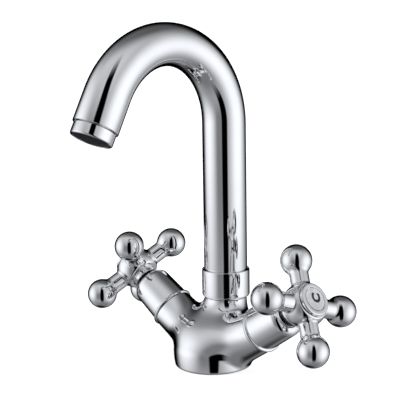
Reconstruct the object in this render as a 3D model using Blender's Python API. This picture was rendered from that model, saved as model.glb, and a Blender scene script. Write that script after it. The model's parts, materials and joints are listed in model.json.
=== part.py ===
"""Two-handle basin mixer with a swivel spout: one Blender object for each piece of the real tap.

Metres, +Z up. The origin is the centre of the base's underside, on the basin. The spout reaches
towards -Y. The cold handle is on +X and the hot handle on -X. Lengths along an arm are measured
from the point where the two arm axes meet.
"""

import math

import bmesh
import bpy
import numpy as np
from mathutils import Matrix, Vector

MM = 0.001

# Clearances
GAP = 0.3 * MM                    # between pieces that seat on each other
TURN_GAP = 0.4 * MM               # round anything that turns inside a bore

# Base
BASE_RADIUS = 22.9 * MM
BASE_SHOULDER = 9.0 * MM          # height at which the base starts to round over
BASE_DOME = 15.0 * MM             # height of that rounding
STUD_RADIUS = 4.0 * MM            # fixing stud hole
STUD_OFFSET = BASE_RADIUS - 10.0 * MM
STUD_DEPTH = 12.0 * MM
INLET_RADIUS = 4.7 * MM           # hot and cold inlet threads
INLET_OFFSET = BASE_RADIUS - 10.4 * MM
SEAL_RADIUS = BASE_RADIUS - 3.3 * MM   # centre line of the ring under the base
SEAL_WIDTH = 2.0 * MM
SEAL_HEIGHT = 1.8 * MM

# Arms
ARM_TILT = math.radians(32.5)     # above the horizontal
ARM_SET_BACK = 2.6 * MM
ARM_START_HEIGHT = 4.2 * MM
ARM_RADIUS = 12.7 * MM
ARM_LENGTH = 41.1 * MM            # to the flat end that the headwork screws against
ARM_BORE_RADIUS = ARM_RADIUS - 3.2 * MM
SEAT_DISTANCE = ARM_LENGTH - 15.6 * MM   # valve seat, along the arm
SEAT_PORT_START = INLET_OFFSET / math.cos(ARM_TILT) - 1.8 * MM
PASSAGE_RADIUS = 2.4 * MM         # from each valve to the spout socket
PASSAGE_PLACE = SEAT_DISTANCE + 7.5 * MM
PASSAGE_RISE = 2.0 * MM           # off the arm's axis, upwards
PASSAGE_SHIFT = 6.0 * MM          # and towards the neck

# Neck and spout socket
NECK_SET_BACK = 11.6 * MM
NECK_RADIUS = 12.0 * MM
NECK_TOP = 38.5 * MM
SOCKET_RADIUS = NECK_RADIUS - 2.6 * MM
SOCKET_BOTTOM = NECK_TOP - 23.5 * MM
WASHER_SEAT_RADIUS = NECK_RADIUS - 1.1 * MM
WASHER_THICKNESS = 1.1 * MM
GRUB_HEIGHT = NECK_TOP - 16.0 * MM
GRUB_RADIUS = 2.4 * MM
GRUB_TIP_RADIUS = 1.2 * MM
GRUB_LENGTH = 3.2 * MM
GRUB_HOLE_RUN = 6.0 * MM          # past the neck's side, through the casting's back

# Blends of the body casting
ARM_ARM_BLEND = 14.0 * MM
NECK_BLEND = 12.0 * MM
BASE_BLEND = 9.0 * MM             # at the top of the base
BASE_FOOT_BLEND = 2.0 * MM        # at its foot

# Spout
TUBE_RADIUS = 12.5 * MM
TUBE_WALL = 1.2 * MM
BEND_START = 140.0 * MM           # height at which the tube starts to bend
BEND_RADIUS = 46.5 * MM
OUTLET_TILT = math.radians(28.5)  # of the outlet, from straight down
TUBE_END_LENGTH = 18.2 * MM
BEND_FLATTENING = 0.7 * MM        # taken off the tube's radius at the top of the bend
COLLAR_WALL = 1.05 * MM
COLLAR_RADIUS = TUBE_RADIUS + GAP + COLLAR_WALL
COLLAR_TOP = NECK_TOP + 16.6 * MM
COLLAR_FLOOR = NECK_TOP + 5.1 * MM
COLLAR_CHAMFER = 1.8 * MM
SPIGOT_RADIUS = SOCKET_RADIUS - 0.5 * MM
SPIGOT_BOTTOM = GRUB_HEIGHT - 3.0 * MM
SPIGOT_WALL = 1.9 * MM
RING_GROOVE_DEPTH = 1.5 * MM
RING_GROOVE_WIDTH = 2.4 * MM
UPPER_RING_HEIGHT = NECK_TOP - 4.5 * MM
LOWER_RING_HEIGHT = NECK_TOP - 10.0 * MM
LOCK_GROOVE_WIDTH = 3.4 * MM      # the grub screw's tip runs in it

# Aerator
AERATOR_RADIUS = TUBE_RADIUS - 0.9 * MM
AERATOR_EXPOSED = 6.5 * MM
AERATOR_THREAD_LENGTH = 6.0 * MM
AERATOR_GAP = 0.5 * MM            # seam between the tube's end and the housing
AERATOR_WALL = 1.6 * MM
AERATOR_EDGE = 1.0 * MM           # rounding of the outlet's rim
AERATOR_RIM_RADIUS = AERATOR_RADIUS - 1.4 * MM
AERATOR_RIM_DEPTH = 1.0 * MM
AERATOR_RIM_LEDGE = 0.8 * MM      # the rim's inner edge over the screen
SCREEN_THICKNESS = 0.8 * MM
SCREEN_HOLE_PITCH = 2.7 * MM
SCREEN_HOLE_RADIUS = 0.95 * MM
CARTRIDGE_LENGTH = 5.5 * MM
CARTRIDGE_WALL = 1.7 * MM
AERATOR_WASHER_WIDTH = 1.8 * MM
AERATOR_WASHER_THICKNESS = 1.4 * MM

# Sleeves over the headworks
HEADWORK_NECK_RADIUS = 6.4 * MM   # each sleeve's rounded top closes on it
SLEEVE_RADIUS = ARM_RADIUS - 0.3 * MM
SLEEVE_END_RADIUS = SLEEVE_RADIUS - 0.7 * MM
SLEEVE_WALL = 1.0 * MM
SLEEVE_LENGTH = 24.8 * MM
SLEEVE_TOP = ARM_LENGTH + GAP + SLEEVE_LENGTH
SLEEVE_DOME = SLEEVE_END_RADIUS - HEADWORK_NECK_RADIUS - 0.8 * MM
BEAD_RADIUS = SLEEVE_RADIUS + 1.1 * MM
BEAD_WIDTH = 2.2 * MM

# Headworks, along the arm
THREAD_RADIUS = ARM_BORE_RADIUS - TURN_GAP
SKIRT_RADIUS = THREAD_RADIUS - 0.8 * MM   # round the discs, where the water leaves
FLANGE_RADIUS = SLEEVE_RADIUS - SLEEVE_WALL - 0.5 * MM
FLANGE_THICKNESS = 1.4 * MM
FIBRE_WASHER = 0.9 * MM
HEX_ACROSS_FLATS = 2 * THREAD_RADIUS - 1.2 * MM
HEX_HEIGHT = 4.6 * MM
DISC_RADIUS = THREAD_RADIUS - 2.3 * MM
DISC_THICKNESS = 2.4 * MM
SEAT_PORT_RADIUS = DISC_RADIUS - 2.6 * MM
PORT_INNER_RADIUS = 1.3 * MM      # of the two openings in each disc
PORT_OUTER_RADIUS = SEAT_PORT_RADIUS
PORT_SPREAD = 40.0                # degrees to each side of an opening's middle
SEAT_SEAL_THICKNESS = 1.8 * MM
HEADWORK_TOP = SLEEVE_TOP + 1.0 * MM
SPINDLE_RADIUS = 4.2 * MM
SPINDLE_GROOVE_DEPTH = 1.0 * MM
SPINDLE_RING_WIDTH = 1.6 * MM
SPINDLE_RING_PLACE = SLEEVE_TOP - 14.2 * MM
SPLINE_RADIUS = 3.8 * MM

# Cross handles
HUB_RADIUS = 11.4 * MM
HUB_BACK = HEADWORK_TOP + 3.7 * MM
HUB_COLLAR_RADIUS = 7.6 * MM
HUB_COLLAR_HEIGHT = 0.8 * MM
HUB_BACK_ANGLE = -36.0            # degrees from the spokes, where the bulb turns into the collar
HUB_FACE_ANGLE = 36.6             # and where it is cut flat for the cap
HUB_BACK_RUN = 0.4 * MM           # from the collar to the start of the bulb
HUB_PLACE = (HUB_BACK + HUB_COLLAR_HEIGHT + HUB_BACK_RUN
             - HUB_RADIUS * math.sin(math.radians(HUB_BACK_ANGLE)))   # where the spokes meet
HUB_FACE = HUB_PLACE + HUB_RADIUS * math.sin(math.radians(HUB_FACE_ANGLE))
HUB_FACE_RADIUS = HUB_RADIUS * math.cos(math.radians(HUB_FACE_ANGLE))
SPINDLE_TOP = HUB_PLACE + 0.8 * MM
SPOKE_RADIUS = 5.3 * MM
SPOKE_ROOT = 1.2 * MM             # outside the cap's skirt, where a spoke starts in the hub's wall
BALL_RADIUS = 8.9 * MM
BALL_CIRCLE = 26.7 * MM
COLD_HANDLE_TURN = math.radians(-20.3)
HOT_HANDLE_TURN = math.radians(52.7)
HANDLE_WEB = 2.0 * MM             # under the screw's head
CAP_RADIUS = HUB_FACE_RADIUS + 0.3 * MM
CAP_FACE = HUB_FACE + 2.1 * MM
CAP_EDGE = 0.8 * MM
CAP_SKIRT_RADIUS = HUB_FACE_RADIUS - 0.95 * MM
CAP_SKIRT_DEPTH = 2.6 * MM
CAP_SKIRT_WALL = 1.0 * MM
CAP_PLATE = 1.0 * MM              # from the cap's face to the top of its skirt
CAP_RECESS = 0.2 * MM
INDEX_RADIUS = CAP_RADIUS - 2.95 * MM
INDEX_THICKNESS = 0.8 * MM
SCREW_HEAD_RADIUS = 3.5 * MM
SCREW_HEAD_HEIGHT = 2.0 * MM
SCREW_RADIUS = 1.8 * MM
SCREW_KEY_RADIUS = 1.44 * MM
SCREW_LENGTH = 8.0 * MM

OVERRUN = 7.0 * MM                # casting blank past each flat end
OVERCUT = 3.0 * MM                # cutters past the face they cut

# Facets round a full circle, steps round the spout's bend, and the grain of the casting's mesh
FINE = 28
MEDIUM = 24
COARSE = 14
TUBE_FACETS = 20
BEND_STEPS = 17
CASTING_VOXEL = 3.2 * MM


for old in list(bpy.data.objects):
    bpy.data.objects.remove(old)


def finish(name, red, green, blue, metallic, roughness):
    """A Principled material of one colour."""
    material = bpy.data.materials.new(name)
    material.use_nodes = True
    shader = material.node_tree.nodes["Principled BSDF"]
    shader.inputs["Base Color"].default_value = (red, green, blue, 1.0)
    shader.inputs["Metallic"].default_value = metallic
    shader.inputs["Roughness"].default_value = roughness
    material.diffuse_color = (red, green, blue, 1.0)
    material.metallic = metallic
    material.roughness = roughness
    return material


CHROME = ("chrome", 0.75, 0.76, 0.78, 1.0, 0.06)
SATIN = ("satin_chrome", 0.72, 0.73, 0.75, 1.0, 0.28)
BRASS = ("brass", 0.72, 0.53, 0.25, 1.0, 0.3)
STEEL = ("steel", 0.6, 0.6, 0.62, 1.0, 0.3)
RUBBER = ("black_rubber", 0.03, 0.03, 0.03, 0.0, 0.6)
FIBRE = ("red_fibre", 0.35, 0.08, 0.05, 0.0, 0.7)
CERAMIC = ("white_ceramic", 0.85, 0.83, 0.78, 0.0, 0.25)
PLASTIC = ("grey_plastic", 0.45, 0.46, 0.48, 0.0, 0.45)


def empty(name, place=None):
    """A guide that pieces are parented to, with its local Z on their axis."""
    guide = bpy.data.objects.new(name, None)
    guide.empty_display_size = 0.02
    bpy.context.scene.collection.objects.link(guide)
    if place is not None:
        guide.matrix_world = place
    return guide


def piece(name, mesh_builder, parent, look, location=(0.0, 0.0, 0.0), turn=0.0, sharp=30.0):
    """An object made from a bmesh, parented to an empty and turned about that empty's Z."""
    bmesh.ops.recalc_face_normals(mesh_builder, faces=mesh_builder.faces)
    mesh = bpy.data.meshes.new(name)
    mesh_builder.to_mesh(mesh)
    mesh_builder.free()
    mesh.shade_smooth()
    mesh.set_sharp_from_angle(angle=math.radians(sharp))
    new = bpy.data.objects.new(name, mesh)
    bpy.context.scene.collection.objects.link(new)
    new.parent = parent
    new.location = location
    new.rotation_euler = (0.0, 0.0, turn)
    mesh.materials.append(finish(name + "_" + look[0], *look[1:]))
    return new


def cutter(name, mesh_builder, parent, location=(0.0, 0.0, 0.0)):
    """A hidden tool for a Boolean."""
    tool = piece(name, mesh_builder, parent, STEEL, location)
    tool.hide_render = True
    tool.display_type = "WIRE"
    return tool


def cut(target, tool, operation="DIFFERENCE"):
    """Add one exact Boolean to a piece."""
    step = target.modifiers.new(tool.name, "BOOLEAN")
    step.operation = operation
    step.solver = "EXACT"
    step.object = tool


def turned(outline, facets):
    """Spin a closed outline of (radius, height) points round Z into a solid."""
    work = bmesh.new()
    corners = [work.verts.new((radius, 0.0, height)) for radius, height in outline]
    edges = []
    for index, corner in enumerate(corners):
        following = corners[(index + 1) % len(corners)]
        if outline[index][0] > 0.0 or outline[(index + 1) % len(corners)][0] > 0.0:
            edges.append(work.edges.new((corner, following)))
    bmesh.ops.spin(work, geom=corners + edges, cent=(0, 0, 0), axis=(0, 0, 1),
                   angle=2.0 * math.pi, steps=facets, use_merge=True)
    bmesh.ops.remove_doubles(work, verts=work.verts, dist=1e-6)
    return work


def rounded(centre_radius, centre_height, radius, start, end, steps):
    """Points of an arc in an outline; angles in degrees from the outward direction."""
    points = []
    for step in range(steps + 1):
        angle = math.radians(start + (end - start) * step / steps)
        points.append((centre_radius + radius * math.cos(angle),
                       centre_height + radius * math.sin(angle)))
    return points


def ring(inner, outer, bottom, top, facets):
    """A plain flat ring."""
    return turned([(inner, bottom), (outer, bottom), (outer, top), (inner, top)], facets)


def disc(radius, bottom, top):
    """A plain solid disc."""
    return turned([(0.0, bottom), (radius, bottom), (radius, top), (0.0, top)], MEDIUM)


def o_ring(inner, outer, height, width, facets):
    """A ring with a six-sided section."""
    middle = (inner + outer) / 2
    across = (outer - inner) / 2
    outline = []
    for step in range(6):
        angle = math.radians(60.0 * step)
        outline.append((middle + across * math.cos(angle),
                        height + width / 2 * math.sin(angle) / math.sin(math.radians(60.0))))
    return turned(outline, facets)


# ---------------------------------------------------------------- guides


def arm_frame(side):
    """Local Z runs out along the arm, local X is its upward side."""
    out = Vector((side * math.cos(ARM_TILT), 0.0, math.sin(ARM_TILT)))
    up = Vector((-side * math.sin(ARM_TILT), 0.0, math.cos(ARM_TILT)))
    turn = Matrix((up, out.cross(up), out)).transposed().to_4x4()
    return Matrix.Translation((0.0, ARM_SET_BACK, ARM_START_HEIGHT)) @ turn


base_axis = empty("base_axis")
spout_axis = empty("spout_axis", Matrix.Translation((0.0, NECK_SET_BACK, 0.0)))
arm_axes = {"cold": empty("cold_arm_axis", arm_frame(1)), "hot": empty("hot_arm_axis", arm_frame(-1))}
handle_turns = {"cold": COLD_HANDLE_TURN, "hot": HOT_HANDLE_TURN}


# ---------------------------------------------------------------- body casting


def blend(first, second, width):
    """Smooth minimum of two distances: a union with a fillet of about this width."""
    overlap = np.maximum(width - np.abs(first - second), 0.0) / width
    return np.minimum(first, second) - overlap * overlap * width / 4


def casting_distance(points):
    """Distance to the skin of the casting, negative inside; base, neck and arms run on past their ends."""
    height = points[:, 2]
    arms = []
    for side in (1, -1):
        out = np.array((side * math.cos(ARM_TILT), 0.0, math.sin(ARM_TILT)))
        local = points - np.array((0.0, ARM_SET_BACK, ARM_START_HEIGHT))
        along = np.clip(local @ out, 0.0, None)
        arms.append(np.linalg.norm(local - along[:, None] * out, axis=1) - ARM_RADIUS)
    neck = np.hypot(points[:, 0], points[:, 1] - NECK_SET_BACK) - NECK_RADIUS
    neck = np.maximum(neck, SOCKET_BOTTOM / 2 - height)
    above = np.maximum(height - BASE_SHOULDER, 0.0) / BASE_DOME
    across = np.hypot(points[:, 0], points[:, 1]) / BASE_RADIUS
    base = (np.hypot(across, above) - 1.0) * BASE_DOME
    skin = blend(arms[0], arms[1], ARM_ARM_BLEND)
    skin = blend(skin, neck, NECK_BLEND)
    rise = np.clip(height / (BASE_SHOULDER + BASE_DOME), 0.0, 1.0)
    return blend(skin, base, BASE_FOOT_BLEND + (BASE_BLEND - BASE_FOOT_BLEND) * rise)


def casting_blank():
    """Rough union of rods, remeshed, whose points are then moved on to the smooth skin."""
    rough = bmesh.new()
    reach = ARM_LENGTH + OVERRUN
    for side in (1, -1):
        place = arm_frame(side) @ Matrix.Translation((0.0, 0.0, reach / 2))
        bmesh.ops.create_cone(rough, cap_ends=True, segments=FINE, radius1=ARM_RADIUS,
                              radius2=ARM_RADIUS, depth=reach, matrix=place)
    neck_length = NECK_TOP + OVERRUN
    bmesh.ops.create_cone(rough, cap_ends=True, segments=FINE, radius1=NECK_RADIUS,
                          radius2=NECK_RADIUS, depth=neck_length,
                          matrix=Matrix.Translation((0.0, NECK_SET_BACK, neck_length / 2)))
    base_height = BASE_SHOULDER + BASE_DOME / 2 + OVERRUN
    bmesh.ops.create_cone(rough, cap_ends=True, segments=FINE, radius1=BASE_RADIUS,
                          radius2=BASE_RADIUS, depth=base_height,
                          matrix=Matrix.Translation((0.0, 0.0, base_height / 2 - OVERRUN)))
    mesh = bpy.data.meshes.new("casting_rough")
    rough.to_mesh(mesh)
    rough.free()
    carrier = bpy.data.objects.new("casting_rough", mesh)
    bpy.context.scene.collection.objects.link(carrier)
    remesh = carrier.modifiers.new("remesh", "REMESH")
    remesh.mode = "VOXEL"
    remesh.voxel_size = CASTING_VOXEL
    evaluated = carrier.evaluated_get(bpy.context.evaluated_depsgraph_get())
    blank = bmesh.new()
    blank.from_mesh(evaluated.to_mesh())
    evaluated.to_mesh_clear()
    bpy.data.objects.remove(carrier)
    return blank


def on_to_skin(points):
    """Newton steps on to the zero of casting_distance, held back at the open ends."""
    step = 0.05 * MM
    for _ in range(6):
        value = casting_distance(points)
        slope = np.stack([(casting_distance(points + offset) - casting_distance(points - offset))
                          / (2 * step) for offset in np.eye(3) * step], axis=1)
        length = np.maximum((slope * slope).sum(axis=1), 0.05)
        points = points - slope * (np.clip(value, -2.0 * MM, 2.0 * MM) / length)[:, None]
    return points


def trim(work, point, normal):
    """Cut everything beyond a plane away and close the cut with one flat face."""
    result = bmesh.ops.bisect_plane(work, geom=work.verts[:] + work.edges[:] + work.faces[:],
                                    dist=1e-7, plane_co=point, plane_no=normal, clear_outer=True)
    rim = [part for part in result["geom_cut"] if isinstance(part, bmesh.types.BMEdge)]
    bmesh.ops.edgeloop_fill(work, edges=rim)


def casting():
    """The body: base, neck and two arms in one smooth skin, with flat ends."""
    blank = casting_blank()
    for _ in range(3):
        bmesh.ops.smooth_vert(blank, verts=blank.verts, factor=0.5, use_axis_x=True,
                              use_axis_y=True, use_axis_z=True)
        moved = on_to_skin(np.array([tuple(corner.co) for corner in blank.verts]))
        for corner, place in zip(blank.verts, moved):
            corner.co = place
    for side in (1, -1):
        frame = arm_frame(side)
        trim(blank, frame @ Vector((0.0, 0.0, ARM_LENGTH)), frame.to_3x3() @ Vector((0.0, 0.0, 1.0)))
    trim(blank, Vector((0.0, 0.0, NECK_TOP)), Vector((0.0, 0.0, 1.0)))
    trim(blank, Vector((0.0, 0.0, 0.0)), Vector((0.0, 0.0, -1.0)))
    bmesh.ops.dissolve_degenerate(blank, edges=blank.edges, dist=0.02 * MM)
    bmesh.ops.triangulate(blank, faces=blank.faces)
    return blank


body_casting = piece("body_casting", casting(), base_axis, CHROME, sharp=40.0)

for side_name, axis in arm_axes.items():
    sign = 1 if side_name == "cold" else -1
    bore = turned([(0.0, SEAT_PORT_START), (SEAT_PORT_RADIUS, SEAT_PORT_START),
                   (SEAT_PORT_RADIUS, SEAT_DISTANCE), (ARM_BORE_RADIUS, SEAT_DISTANCE),
                   (ARM_BORE_RADIUS, ARM_LENGTH + OVERCUT), (0.0, ARM_LENGTH + OVERCUT)], MEDIUM)
    cut(body_casting, cutter(side_name + "_arm_bore", bore, axis))
    inlet_top = ARM_START_HEIGHT + INLET_OFFSET * math.tan(ARM_TILT)
    inlet = turned([(0.0, -OVERCUT), (INLET_RADIUS, -OVERCUT), (INLET_RADIUS, inlet_top),
                    (0.0, inlet_top + INLET_RADIUS / 2)], MEDIUM)
    cut(body_casting, cutter(side_name + "_inlet", inlet, base_axis,
                             (sign * INLET_OFFSET, ARM_SET_BACK, 0.0)))

socket = turned([(0.0, SOCKET_BOTTOM), (SOCKET_RADIUS, SOCKET_BOTTOM),
                 (SOCKET_RADIUS, NECK_TOP - WASHER_THICKNESS - GAP),
                 (WASHER_SEAT_RADIUS, NECK_TOP - WASHER_THICKNESS - GAP),
                 (WASHER_SEAT_RADIUS, NECK_TOP + OVERCUT), (0.0, NECK_TOP + OVERCUT)], FINE)
cut(body_casting, cutter("spout_socket_bore", socket, spout_axis))

for side_name, axis in arm_axes.items():
    arm_end = axis.matrix_world @ Vector((PASSAGE_RISE, 0.0, PASSAGE_PLACE))
    arm_end.y += PASSAGE_SHIFT
    socket_end = Vector((0.0, NECK_SET_BACK, (SOCKET_BOTTOM + SPIGOT_BOTTOM) / 2))
    run = arm_end - socket_end
    passage = bmesh.new()
    place = Matrix.Translation((arm_end + socket_end) / 2) @ run.to_track_quat("Z", "Y").to_matrix().to_4x4()
    bmesh.ops.create_cone(passage, cap_ends=True, segments=COARSE, radius1=PASSAGE_RADIUS,
                          radius2=PASSAGE_RADIUS, depth=run.length, matrix=place)
    cut(body_casting, cutter(side_name + "_outlet_passage", passage, base_axis))

stud_hole = turned([(0.0, -OVERCUT), (STUD_RADIUS, -OVERCUT), (STUD_RADIUS, STUD_DEPTH),
                    (0.0, STUD_DEPTH + STUD_RADIUS / 2)], MEDIUM)
cut(body_casting, cutter("stud_hole", stud_hole, base_axis, (0.0, -STUD_OFFSET, 0.0)))

seal_groove = ring(SEAL_RADIUS - SEAL_WIDTH / 2 - GAP, SEAL_RADIUS + SEAL_WIDTH / 2 + GAP,
                   -OVERCUT, SEAL_HEIGHT + GAP, FINE)
cut(body_casting, cutter("seal_groove", seal_groove, base_axis))

grub_hole = bmesh.new()
grub_hole_length = NECK_RADIUS + GRUB_HOLE_RUN - SOCKET_RADIUS / 2
bmesh.ops.create_cone(
    grub_hole, cap_ends=True, segments=COARSE, radius1=GRUB_RADIUS + GAP, radius2=GRUB_RADIUS + GAP,
    depth=grub_hole_length,
    matrix=Matrix.Translation((0.0, NECK_SET_BACK + SOCKET_RADIUS / 2 + grub_hole_length / 2, GRUB_HEIGHT))
    @ Matrix.Rotation(math.radians(90), 4, "X"))
cut(body_casting, cutter("grub_screw_hole", grub_hole, base_axis))


# ---------------------------------------------------------------- small pieces on the body


base_seal = ring(SEAL_RADIUS - SEAL_WIDTH / 2, SEAL_RADIUS + SEAL_WIDTH / 2, 0.0, SEAL_HEIGHT, FINE)
piece("base_seal", base_seal, base_axis, RUBBER)

swivel_washer = ring(SOCKET_RADIUS, WASHER_SEAT_RADIUS - GAP, NECK_TOP - WASHER_THICKNESS, NECK_TOP, FINE)
piece("swivel_washer", swivel_washer, spout_axis, PLASTIC)

lock_groove_radius = SPIGOT_RADIUS - RING_GROOVE_DEPTH
grub_tip = lock_groove_radius + TURN_GAP
grub_shoulder = SOCKET_RADIUS + GAP
grub = turned([(0.0, grub_tip), (GRUB_TIP_RADIUS, grub_tip), (GRUB_TIP_RADIUS, grub_shoulder),
               (GRUB_RADIUS, grub_shoulder + (GRUB_RADIUS - GRUB_TIP_RADIUS) / 2),
               (GRUB_RADIUS, grub_shoulder + GRUB_LENGTH), (GRUB_RADIUS / 2, grub_shoulder + GRUB_LENGTH),
               (GRUB_RADIUS / 2, grub_shoulder + GRUB_LENGTH / 2),
               (0.0, grub_shoulder + GRUB_LENGTH / 2)], COARSE)
grub_axis = empty("grub_screw_axis", Matrix.Translation((0.0, NECK_SET_BACK, GRUB_HEIGHT))
                  @ Matrix.Rotation(math.radians(-90), 4, "X"))
piece("spout_grub_screw", grub, grub_axis, STEEL)


# ---------------------------------------------------------------- spout


def spout_skin(facets, steps):
    """Outer skin of the bent tube, from its foot in the collar to its end, open at both ends."""
    work = bmesh.new()
    bmesh.ops.create_circle(work, cap_ends=False, segments=facets, radius=TUBE_RADIUS,
                            matrix=Matrix.Translation((0.0, 0.0, COLLAR_FLOOR + GAP)))
    rise = bmesh.ops.extrude_edge_only(work, edges=work.edges)["geom"]
    riser_top = [part for part in rise if isinstance(part, bmesh.types.BMVert)]
    top_edges = [part for part in rise if isinstance(part, bmesh.types.BMEdge)]
    bmesh.ops.translate(work, verts=riser_top, vec=(0.0, 0.0, BEND_START - COLLAR_FLOOR - GAP))
    bend = bmesh.ops.spin(work, geom=riser_top + top_edges, cent=(0.0, -BEND_RADIUS, BEND_START),
                          axis=(1.0, 0.0, 0.0), angle=math.pi - OUTLET_TILT, steps=steps)
    last = [part for part in bend["geom_last"] if isinstance(part, bmesh.types.BMEdge)]
    drop = bmesh.ops.extrude_edge_only(work, edges=last)["geom"]
    end = [part for part in drop if isinstance(part, bmesh.types.BMVert)]
    bmesh.ops.translate(work, verts=end, vec=outlet_direction * TUBE_END_LENGTH)
    return work


def flatten_bend(work):
    """The bend is a little thinner than the tube, most at its top, as a bent tube is."""
    centre = Vector((0.0, -BEND_RADIUS, BEND_START))
    for corner in work.verts:
        arm = Vector((0.0, corner.co.y, corner.co.z)) - centre
        swept = math.atan2(arm.z, arm.y)
        if arm.z > 0.0 and 0.0 < swept < math.pi - OUTLET_TILT:
            share = math.sin(math.pi * swept / (math.pi - OUTLET_TILT))
            height = arm.length - BEND_RADIUS
            arm = arm.normalized() * (BEND_RADIUS + height * (1.0 - share * BEND_FLATTENING / TUBE_RADIUS))
            corner.co = (corner.co.x, centre.y + arm.y, centre.z + arm.z)


outlet_direction = Vector((0.0, -math.sin(OUTLET_TILT), -math.cos(OUTLET_TILT)))
bend_end = Vector((0.0, -BEND_RADIUS * (1.0 + math.cos(OUTLET_TILT)),
                   BEND_START + BEND_RADIUS * math.sin(OUTLET_TILT)))
tube_end = bend_end + outlet_direction * TUBE_END_LENGTH

tube = spout_skin(TUBE_FACETS, BEND_STEPS)
flatten_bend(tube)
spout_tube = piece("spout_tube", tube, spout_axis, CHROME)
wall = spout_tube.modifiers.new("wall", "SOLIDIFY")
wall.thickness = TUBE_WALL
wall.offset = -1.0
wall.use_even_offset = True

collar_bottom = NECK_TOP + GAP
collar_socket = TUBE_RADIUS + GAP
spigot_bore = SPIGOT_RADIUS - RING_GROOVE_DEPTH - SPIGOT_WALL


def groove(height, width):
    """The four corners of a groove in the spigot, going down."""
    deep = SPIGOT_RADIUS - RING_GROOVE_DEPTH
    return [(SPIGOT_RADIUS, height + width / 2), (deep, height + width / 2),
            (deep, height - width / 2), (SPIGOT_RADIUS, height - width / 2)]


collar_outline = [(collar_socket, COLLAR_TOP), (COLLAR_RADIUS, COLLAR_TOP),
                  (COLLAR_RADIUS, collar_bottom + COLLAR_CHAMFER),
                  (COLLAR_RADIUS - COLLAR_CHAMFER, collar_bottom), (SPIGOT_RADIUS, collar_bottom)]
collar_outline += groove(UPPER_RING_HEIGHT, RING_GROOVE_WIDTH)
collar_outline += groove(LOWER_RING_HEIGHT, RING_GROOVE_WIDTH)
collar_outline += groove(GRUB_HEIGHT, LOCK_GROOVE_WIDTH)
collar_outline += [(SPIGOT_RADIUS, SPIGOT_BOTTOM), (spigot_bore, SPIGOT_BOTTOM),
                   (spigot_bore, COLLAR_FLOOR), (collar_socket, COLLAR_FLOOR)]
piece("spout_collar", turned(collar_outline, FINE), spout_axis, CHROME)

ring_inner = lock_groove_radius + GAP / 2
ring_outer = SOCKET_RADIUS - GAP
for ring_name, ring_height in (("spigot_o_ring_upper", UPPER_RING_HEIGHT),
                               ("spigot_o_ring_lower", LOWER_RING_HEIGHT)):
    seal = o_ring(ring_inner, ring_outer, ring_height, RING_GROOVE_WIDTH - 2 * GAP, MEDIUM)
    piece(ring_name, seal, spout_axis, RUBBER)


# Aerator: local Z runs out of the spout, with zero at the end of the tube.
outlet_axis = empty("outlet_axis", Matrix.Translation(Vector((0.0, NECK_SET_BACK, 0.0)) + tube_end)
                    @ Matrix.Rotation(math.pi - OUTLET_TILT, 4, "X"))
tube_bore = TUBE_RADIUS - TUBE_WALL
thread_outer = tube_bore - TURN_GAP
cartridge_space = thread_outer - AERATOR_WALL
outlet_face = AERATOR_GAP + AERATOR_EXPOSED
screen_face = outlet_face - AERATOR_RIM_DEPTH
housing_outline = [(thread_outer, -AERATOR_THREAD_LENGTH), (thread_outer, 0.0),
                   (thread_outer, AERATOR_GAP), (AERATOR_RADIUS, AERATOR_GAP)]
housing_outline += rounded(AERATOR_RADIUS - AERATOR_EDGE, outlet_face - AERATOR_EDGE, AERATOR_EDGE, 0, 90, 3)
housing_outline += [(AERATOR_RIM_RADIUS, outlet_face), (AERATOR_RIM_RADIUS, screen_face),
                    (cartridge_space, screen_face), (cartridge_space, -AERATOR_THREAD_LENGTH)]
piece("aerator_housing", turned(housing_outline, MEDIUM), outlet_axis, CHROME)

screen = disc(cartridge_space - GAP, screen_face - SCREEN_THICKNESS, screen_face)
aerator_screen = piece("aerator_screen", screen, outlet_axis, PLASTIC)
holes = bmesh.new()
for row in range(-2, 3):
    for column in range(-2, 3):
        if abs(row + column) <= 2:
            across = SCREEN_HOLE_PITCH * (column + row / 2)
            up = SCREEN_HOLE_PITCH * row * math.sqrt(3) / 2
            bmesh.ops.create_cone(holes, cap_ends=True, segments=6, radius1=SCREEN_HOLE_RADIUS,
                                  radius2=SCREEN_HOLE_RADIUS, depth=SCREEN_THICKNESS + OVERCUT,
                                  matrix=Matrix.Translation((across, up, screen_face)))
cut(aerator_screen, cutter("screen_holes", holes, outlet_axis))

cartridge_top = screen_face - SCREEN_THICKNESS - GAP
cartridge = ring(cartridge_space - GAP - CARTRIDGE_WALL, cartridge_space - GAP,
                 cartridge_top - CARTRIDGE_LENGTH, cartridge_top, MEDIUM)
piece("aerator_cartridge", cartridge, outlet_axis, PLASTIC)

washer_top = -AERATOR_THREAD_LENGTH - GAP
aerator_washer = ring(thread_outer - AERATOR_WASHER_WIDTH, thread_outer,
                      washer_top - AERATOR_WASHER_THICKNESS, washer_top, MEDIUM)
piece("aerator_washer", aerator_washer, outlet_axis, RUBBER)


# ---------------------------------------------------------------- headworks


seal_bottom = SEAT_DISTANCE + GAP
fixed_bottom = seal_bottom + SEAT_SEAL_THICKNESS + GAP
moving_bottom = fixed_bottom + DISC_THICKNESS + GAP
driver_bottom = moving_bottom + DISC_THICKNESS + GAP
driver_top = driver_bottom + DISC_THICKNESS
cavity_top = driver_top + GAP
cavity_radius = DISC_RADIUS + TURN_GAP
spindle_bore = SPINDLE_RADIUS + TURN_GAP
washer_bottom = ARM_LENGTH + GAP
flange_bottom = washer_bottom + FIBRE_WASHER + GAP
hex_bottom = flange_bottom + FLANGE_THICKNESS
hex_top = hex_bottom + HEX_HEIGHT
hex_corner = HEX_ACROSS_FLATS / 2 / math.cos(math.radians(30))


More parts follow.
